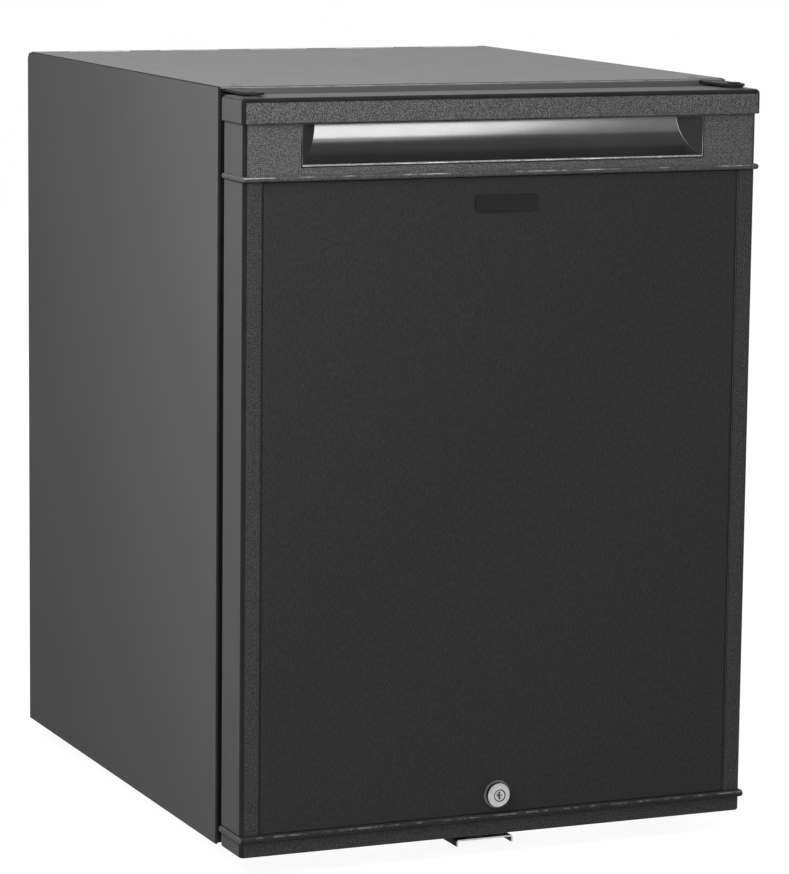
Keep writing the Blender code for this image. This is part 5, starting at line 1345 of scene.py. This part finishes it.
def dripGutter():
    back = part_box("drip_gutter")[1].y
    hole = makeRod(compartment["drainHole"], drainSpot, "Y", back - 0.006, back + 0.01)
    bm = cutAway(dripCup("drip_gutter"), hole)
    finishPiece("dripGutter", bm, "drip_gutter", "white_plastic", sharp=40)
    finishPiece("dripCup", dripCup("drip_cup"), "drip_cup", "black_plastic", sharp=40)
    outer, inner = compartment["drainTube"]
    start, end = compartment["tubeReach"]
    profile = [(outer, start), (outer, end - 0.0004), (outer - 0.0004, end), (inner, end), (inner, start)]
    bm = makeTurned(profile, drainSpot, "Y", 28, bored=True)
    finishPiece("drainTube", bm, "drain_tube", "white_plastic")


def thermostatBox():
    low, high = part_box("thermostat_box")
    outline = frontPlan(low, high, 0.004, 4)
    bm = makeSlab(outline, "Y", softLevels(low.y, high.y, 0.0025, 0.0006))
    tools = [makeRod(thermostat["knobHole"], knobSpot, "Y", low.y - 0.005, low.y + 0.012)]
    near, far = thermostat["markReach"]
    first, more = thermostat["markWide"]
    for index in range(thermostat["markCount"]):  # scale round the knob, sunk and filled with black
        angle = math.radians(90 + (index - (thermostat["markCount"] - 1) / 2) * thermostat["markTurn"])
        ahead, aside = Vector((math.cos(angle), math.sin(angle))), Vector((-math.sin(angle), math.cos(angle)))
        wide = first + more * index
        corners = [(near, -wide), (far, -wide), (far, wide), (near, wide)]
        points = [tuple(Vector(knobSpot) + ahead * a + aside * b) for a, b in corners]
        tools.append(makePrism(points, "Y", low.y - over, low.y + thermostat["markDeep"]))

    def sort(normal, centre):
        away = math.hypot(centre.x - knobSpot[0], centre.z - knobSpot[1])
        inside = near - 0.0006 < away < far + 0.0004
        return 1 if inside and low.y + 0.00005 < centre.y < low.y + 0.0005 else 0

    look = {"extra": [finishes["black_plastic"]], "sort": sort, "sharp": 40}
    finishPiece("thermostatBox", cutAway(bm, *tools), "thermostat_box", "white_plastic", **look)


def thermostatKnob():
    low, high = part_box("thermostat_knob")
    shoulder = low.y + thermostat["knobLong"]
    outline = ridgedPlan(knobSpot, thermostat["knobRadius"], thermostat["ridgeDeep"], thermostat["ridges"])
    body = makeSlab(outline, "Y", softLevels(low.y, shoulder, 0.0018, 0.0004))
    spindle = makeRod(thermostat["spindle"], knobSpot, "Y", shoulder - 0.002, high.y)
    hollow = [(0.0, low.y + 0.0012), (0.0088, low.y + 0.0009), (0.0104, low.y - over), (0.0, low.y - over)]
    wide, deep, reach = thermostat["pointer"]
    foot, tip = (knobSpot[1] + away for away in reach)
    mark = makeBox(span(knobSpot[0], wide), (low.y - over, low.y + deep), (foot, tip))

    def sort(normal, centre):
        inside = abs(centre.x - knobSpot[0]) < wide / 2 + 0.00005 and foot - 0.0001 < centre.z < tip + 0.0001
        return 1 if inside and centre.y < low.y + deep + 0.00005 else 0

    bm = cutAway(fuse(body, spindle), makeTurned(hollow, knobSpot, "Y", 44), mark)
    look = {"extra": [finishes["black_plastic"]], "sort": sort, "sharp": 40}
    finishPiece("thermostatKnob", bm, "thermostat_knob", "white_plastic", "thermostat_knob", **look)


innerLiner()
shelf("lower")
shelf("upper")
dripGutter()
thermostatBox()
thermostatKnob()
print("compartment lined and fitted")


# inside of the door

doorInside = {
    "plate": 0.002,
    "dyke": (-0.150, 0.150, 0.068, 0.490),
    "dykeWide": 0.007,
    "dykeCorner": 0.012,
    "lug": (0.138, 0.1455),
    "lugHigh": 0.005,
    "lugRound": 0.0012,
    "lugShort": 0.0056,  # how far the lugs stay behind the dyke's edge
    "rackWall": 0.002,
    "rackFoot": 0.005,
    "rackCorners": (0.0015, 0.0015, 0.008, 0.008),
}


def doorLiner():
    low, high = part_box("door_liner")
    levels = softLevels(low.y, low.y + doorInside["plate"], 0.0002, 0.0009)
    bm = makeSlab(frontPlan(low, high, 0.003, 4), "Y", levels)
    wide, front = doorInside["dykeWide"], low.y + 0.001
    section = plan([(0, front), (wide, front), (wide, high.y), (0, high.y)], [0, 0, 0.0022, 0.0028], 4)()
    dyke = makeFrame(section, rectPlan(*doorInside["dyke"], doorInside["dykeCorner"], 6))
    depth = (front, high.y - doorInside["lugShort"])
    lugs = []
    for name in ("door_rack_lower", "door_rack_upper"):
        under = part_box(name)[0].z - 0.0003
        tall = (under - doorInside["lugHigh"], under)
        for side in (-1, 1):
            lugs.append(makeBox(sideways(side, *doorInside["lug"]), depth, tall, doorInside["lugRound"]))
    finishPiece("doorLiner", fuse(bm, dyke, *lugs), "door_liner", "white_plastic", "door", sharp=40)


def doorRack(level):
    name = "door_rack_" + level
    low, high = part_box(name)
    outline = topPlan(low, high, doorInside["rackCorners"], 6)
    bm = makeSlab(outline, "Z", cupLevels(low.z, high.z, doorInside["rackWall"], doorInside["rackFoot"]))
    finishPiece("bottleRack" + level.capitalize(), bm, name, "clear_plastic", "rack_" + level, sharp=40)


doorLiner()
doorRack("lower")
doorRack("upper")
lowerBush()
print("door lined, and hung on its lower bush")


# levelling feet

foot = {
    "pad": 0.015,
    "padHigh": 0.008,
    "neck": 0.009,
    "studHigh": 0.012,
    "stud": 0.004,
    "threadPitch": 0.00125,
    "threadDeep": 0.0005,
    "ridges": 24,
    "ridgeDeep": 0.0003,
}


def levellingFoot(place):
    name = "foot_" + place
    low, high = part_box(name)
    spot = ((low + high) / 2).xy
    neckTop = high.z - foot["studHigh"]
    outline = ridgedPlan(spot, foot["pad"], foot["ridgeDeep"], foot["ridges"])
    pad = makeSlab(outline, "Z", softLevels(0, foot["padHigh"], 0.0018, 0.0012))
    neck, stud, pitch = foot["neck"], foot["stud"], foot["threadPitch"]
    root = stud - foot["threadDeep"]
    profile = [(neck, foot["padHigh"] - 0.001), (neck, neckTop - 0.0004), (neck - 0.0004, neckTop)]
    for turn in range(int((high.z - neckTop - 0.001) / pitch)):
        profile += [(root, neckTop + turn * pitch), (stud, neckTop + turn * pitch + pitch / 2)]
    profile += [(root, high.z - 0.0006), (stud - 0.0009, high.z)]
    bm = fuse(pad, makeTurned(profile, spot, "Z", 40))
    body = name if place.startswith("front") else "cabinet"
    label = "foot" + "".join(word.capitalize() for word in place.split("_"))
    finishPiece(label, bm, name, "black_rubber", body, sharp=40)


for place in ("front_left", "front_right", "rear_left", "rear_right"):
    levellingFoot(place)
print("feet turned")


# absorption unit in the open chimney

unit = {
    "middle": 0.19455,  # depth of the unit's plane
    "finCount": 12,
    "finRadius": 0.028,
    "finThick": 0.0009,
    "condenserTube": 0.009,
    "coilRuns": 6,
    "coilTube": 0.008,
    "coilBend": 0.020,
    "coilEntry": -0.120,
    "coilExit": -0.105,
    "coilFoot": 0.0453,  # lowest run above the reservoir
    "coilHead": 0.0552,  # highest run below the coil's end
    "pipe": 0.006,
    "pipeBends": (0.012, 0.014),  # liquid pipe and evaporator pipe
    "boilerTube": 0.011,
    "boilerBend": 0.020,
    "boilerX": 0.118,
    "heater": 0.007,
    "reservoir": 0.030,
    "dome": 0.012,
    "jacket": (0.036, 0.026),
    "strapPlaces": (0.12, 0.50, 0.88),
    "strapHalf": 0.005,
    "strapScrew": -0.009,
    "sheet": 0.0015,
    "sheetBend": 0.003,
    "boilerHole": 0.0113,
    "headInset": (0.012, 0.010),
}

domeShape = [  # share of the radius and of the dome's depth
    (0.0, 0.0),
    (0.30, 0.01),
    (0.55, 0.06),
    (0.74, 0.20),
    (0.87, 0.42),
    (0.95, 0.66),
    (0.985, 0.85),
    (1.0, 1.0),
]


def finishUnit(label, bm, node, sharp=32):
    finishPiece(label, bm, node, "unit_paint", sharp=sharp)


def condenser():
    low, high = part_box("condenser")
    tube, fin = unit["condenserTube"], unit["finRadius"]
    pitch = (high.x - low.x) / unit["finCount"]
    profile = [(0.0, low.x), (tube - 0.001, low.x), (tube, low.x + 0.001)]
    for index in range(unit["finCount"]):
        middle = low.x + pitch * (index + 0.5)
        left, right = span(middle, unit["finThick"])
        profile += [(tube, left - 0.0026), (tube + 0.0008, left - 0.0022), (tube + 0.0012, left - 0.0008)]
        profile += [(tube + 0.0030, left), (fin - 0.0005, left), (fin, middle)]
        profile += [(fin - 0.0005, right), (tube, right)]
    profile += [(tube, high.x - 0.001), (tube - 0.001, high.x), (0.0, high.x)]
    bm = makeTurned(profile, (unit["middle"], (low.z + high.z) / 2), "X", 56)
    finishUnit("condenserFins", bm, "condenser", 40)


def absorberCoil():
    low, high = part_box("absorber_coil")
    tube, runs, middle = unit["coilTube"], unit["coilRuns"], unit["middle"]
    left, right = low.x + tube, high.x - tube
    bottom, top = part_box("reservoir")[1].z + unit["coilFoot"], high.z - unit["coilHead"]
    z = bottom
    route = [(unit["coilEntry"], middle, low.z), (unit["coilEntry"], middle, z)]
    for run in range(runs):
        x = right if run % 2 == 0 else left
        if run == runs - 1:
            x = unit["coilExit"]
        route.append((x, middle, z))
        if run < runs - 1:
            z += (top - bottom) / (runs - 1)
            route.append((x, middle, z))
    route.append((unit["coilExit"], middle, high.z))
    finishUnit("absorberCoil", makePipe(route, unit["coilBend"], 10, tube), "absorber_coil")


def unitPipes():
    middle, pipe, x = unit["middle"], unit["pipe"], unit["boilerX"]
    condenserLow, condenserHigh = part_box("condenser")
    condenserZ = (condenserLow.z + condenserHigh.z) / 2
    low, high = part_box("boiler_tube")
    route = [(x, middle, low.z), (x, middle, condenserZ), (low.x, middle, condenserZ)]
    finishUnit("boilerTube", makePipe(route, unit["boilerBend"], 12, unit["boilerTube"], 24), "boiler_tube")
    low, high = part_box("liquid_pipe")
    route = [(low.x, middle, low.z + pipe), (x, middle, low.z + pipe), (x, middle, high.z)]
    finishUnit("liquidPipe", makePipe(route, unit["pipeBends"][0], 10, pipe), "liquid_pipe")
    low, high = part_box("evaporator_pipe")
    below = low.x + pipe
    route = [
        (pipeSpot[0], low.y, pipeSpot[1]),
        (pipeSpot[0], middle, pipeSpot[1]),
        (below, middle, pipeSpot[1]),
        (below, middle, condenserZ),
        (condenserLow.x - 0.0003, middle, condenserZ),
    ]
    finishUnit("evaporatorPipe", makePipe(route, unit["pipeBends"][1], 10, pipe), "evaporator_pipe")


def liquidReservoir():
    low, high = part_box("reservoir")
    size, dome = unit["reservoir"], unit["dome"]
    body = size - 0.0006
    start = [(body * share, dome * way) for share, way in domeShape]
    start += [(body, dome + 0.0015), (size, dome + 0.0025), (size, dome + 0.0040), (body, dome + 0.0050)]
    profile = [(radius, low.x + way) for radius, way in start]
    profile += [(radius, high.x - way) for radius, way in reversed(start)]
    bm = makeTurned(profile, (unit["middle"], (low.z + high.z) / 2), "X", 56)
    finishUnit("liquidReservoir", bm, "reservoir", 50)


def boilerJacket():
    low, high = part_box("boiler_jacket")
    outer, bore = unit["jacket"]
    spot = ((low.x + high.x) / 2, unit["middle"])
    body = outer - 0.0010
    profile = [(bore, low.z), (body - 0.0008, low.z), (body, low.z + 0.0008)]
    profile += [(body, high.z - 0.0008), (body - 0.0008, high.z), (bore, high.z)]
    bm = makeTurned(profile, spot, "Z", 64, bored=True)
    straps = []
    inner, rim = body - 0.002, outer - 0.0004
    for share in unit["strapPlaces"]:
        z = low.z + (high.z - low.z) * share
        foot, top = z - unit["strapHalf"], z + unit["strapHalf"]
        band = [(inner, foot), (rim, foot), (rim, top), (inner, top)]
        straps.append(makeTurned(band, spot, "Z", 64, bored=True))
        face, back = spot[1] + outer, spot[1] + outer - 0.004
        head = [(0.0, face), (0.0024, face), (0.0030, face - 0.0005), (0.0030, back), (0.0, back)]
        straps.append(makeTurned(head, (spot[0] + unit["strapScrew"], z), "Y", 24))
    lap = [(0.002, outer - 0.004), (0.002, outer - 0.0006), (-0.002, outer - 0.0006), (-0.002, outer - 0.004)]
    points = [(spot[0] + x, spot[1] + y) for x, y in lap]
    straps.append(makePrism(points, "Z", low.z + 0.0005, high.z - 0.0005))
    finishPiece("boilerJacket", fuse(bm, *straps), "boiler_jacket", "galvanised", sharp=30)
    low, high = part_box("heater_cartridge")
    size = unit["heater"]
    profile = [(0.0, low.z), (size - 0.0008, low.z), (size, low.z + 0.0008)]
    profile += [(size, high.z - 0.0020), (size - 0.0014, high.z), (0.0, high.z)]
    bm = makeTurned(profile, ((low.x + high.x) / 2, unit["middle"]), "Z", 36)
    finishPiece("heaterCartridge", bm, "heater_cartridge", "chrome")


def unitBracket(level, bend, edge, sheet):  # heights of its bend and of its free edge
    low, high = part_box("unit_bracket_" + level)
    path = [(low.y, edge), (low.y, bend), (high.y, bend)]
    bm = makeSheet(path, sheet, unit["sheetBend"], "X", low.x, high.x)
    if level == "lower":
        spot = (unit["boilerX"], unit["middle"])
        bm = cutAway(bm, makeRod(unit["boilerHole"], spot, "Z", low.z - 0.002, low.z + 0.004, 36))
    face, back = low.y + 0.0034, low.y + 0.0006
    head = [(0.0, face), (0.0030, low.y + 0.0031), (0.0040, low.y + 0.0018), (0.0040, back), (0.0, back)]
    aside, down = unit["headInset"]
    z = edge - down if edge > bend else edge + down
    heads = [makeTurned(head, (x, z), "Y", 28) for x in (low.x + aside, high.x - aside)]
    label = "unitBracket" + level.capitalize()
    finishPiece(label, fuse(bm, *heads), "unit_bracket_" + level, "galvanised", soften=0.0002)


def unitBrackets():
    low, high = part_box("unit_bracket_lower")
    unitBracket("lower", low.z, high.z, unit["sheet"])
    low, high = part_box("unit_bracket_upper")
    unitBracket("upper", high.z, low.z, -unit["sheet"])


terminal = {
    "lidDeep": 0.008,
    "groove": 0.0004,
    "grooveDeep": 0.0007,
    "corner": 0.0030,
    "fit": 0.0003,
    "screw": (0.0032, 0.008, 0.0025),  # radius, inset and depth of each corner's screw hole
    "recess": (0.012, 0.008, 0.012),  # half width, half height and depth of the inlet
    "cut": 0.004,
    "pinHalf": (0.001, 0.002),
    "pinPlaces": ((-0.007, -0.0015), (0.007, -0.0015), (0, 0.0025)),
    "pinShort": 0.002,
}


def terminalBox():
    low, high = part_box("terminal_box")
    inletLow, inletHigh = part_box("power_inlet")
    lid, line, fit = high.y - terminal["lidDeep"], terminal["groove"], terminal["fit"]
    levels = [(low.y, 0.0004), (low.y + 0.0004, 0), (lid - line, 0), (lid - line, terminal["grooveDeep"])]
    levels += [(lid + line, terminal["grooveDeep"]), (lid + line, 0)]
    levels += [(high.y - 0.0015, 0), (high.y - 0.0005, 0.0005), (high.y, 0.0015)]
    bm = makeSlab(frontPlan(low, high, terminal["corner"], 4), "Y", levels)
    across, tall = (inletLow.x - fit, inletHigh.x + fit), (inletLow.z - fit, inletHigh.z + fit)
    tools = [makeBox(across, (inletLow.y - fit, high.y + 0.002), tall)]
    radius, edge, deep = terminal["screw"]
    for z in (low.z + edge, high.z - edge):
        for x in (low.x + edge, high.x - edge):
            tools.append(makeRod(radius, (x, z), "Y", high.y - deep, high.y + 0.002))
    finishPiece("terminalBox", cutAway(bm, *tools), "terminal_box", "black_plastic", sharp=40)


def powerInlet():
    low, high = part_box("power_inlet")
    middle = (low + high) / 2
    outline = frontPlan(low, high, 0.0012, 3)
    body = makeSlab(outline, "Y", softLevels(low.y, high.y, 0.0003, 0.0008))
    wide, tall, deep = terminal["recess"]
    cut, floor = terminal["cut"], high.y - deep
    corners = [(-wide, -tall), (wide, -tall), (wide, tall - cut), (wide - cut, tall)]
    corners += [(-wide + cut, tall), (-wide, tall - cut)]
    points = [(middle.x + x, middle.z + z) for x, z in corners]
    recess = plan(points, [0.001, 0.001, 0.0005, 0.0005, 0.0005, 0.0005], 3)
    bm = cutAway(body, makePrism(recess(), "Y", floor, high.y + 0.002))
    half, rise = terminal["pinHalf"]
    spots = [(middle.x + x, middle.z + z) for x, z in terminal["pinPlaces"]]
    depth = (floor - over, high.y - terminal["pinShort"])
    pins = [makeBox((x - half, x + half), depth, (z - rise, z + rise), 0.0004) for x, z in spots]

    def sort(normal, centre):
        for x, z in spots:
            if abs(centre.x - x) < half + 0.0001 and abs(centre.z - z) < rise + 0.0001:
                return 1 if centre.y > floor + 0.00005 else 0
        return 0

    look = {"extra": [finishes["chrome"]], "sort": sort, "sharp": 40}
    finishPiece("powerInlet", fuse(bm, *pins), "power_inlet", "black_plastic", **look)


condenser()
absorberCoil()
unitPipes()
liquidReservoir()
boilerJacket()
unitBrackets()
terminalBox()
powerInlet()
print("absorption unit piped")


# solids that keep their shape: own finish and softened edges

keptNodes = {  # slot and edge rounding
    "front_frame": ("white_plastic", 0.0006),
    "base_panel": ("galvanised", 0.0002),
    "rear_wall": ("galvanised", 0.0002),
    "rear_cross_bar": ("painted_steel", 0.0003),
    "cabinet_foam": ("foam", 0),
    "door_foam": ("foam", 0),
    "evaporator_fins": ("aluminium", 0.0003),
    "lamp_cover": ("clear_plastic", 0.0010),
    "lock_nut": ("brass", 0.0004),
}

for name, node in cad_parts.items():
    if node.hide_render:
        continue
    slot, soft = keptNodes[name]
    for holder in node.material_slots:
        holder.link = "OBJECT"
        holder.material = finishes[slot]
    if soft:
        softEdges(node, soft)
print("solids kept as they are:", len(keptNodes))
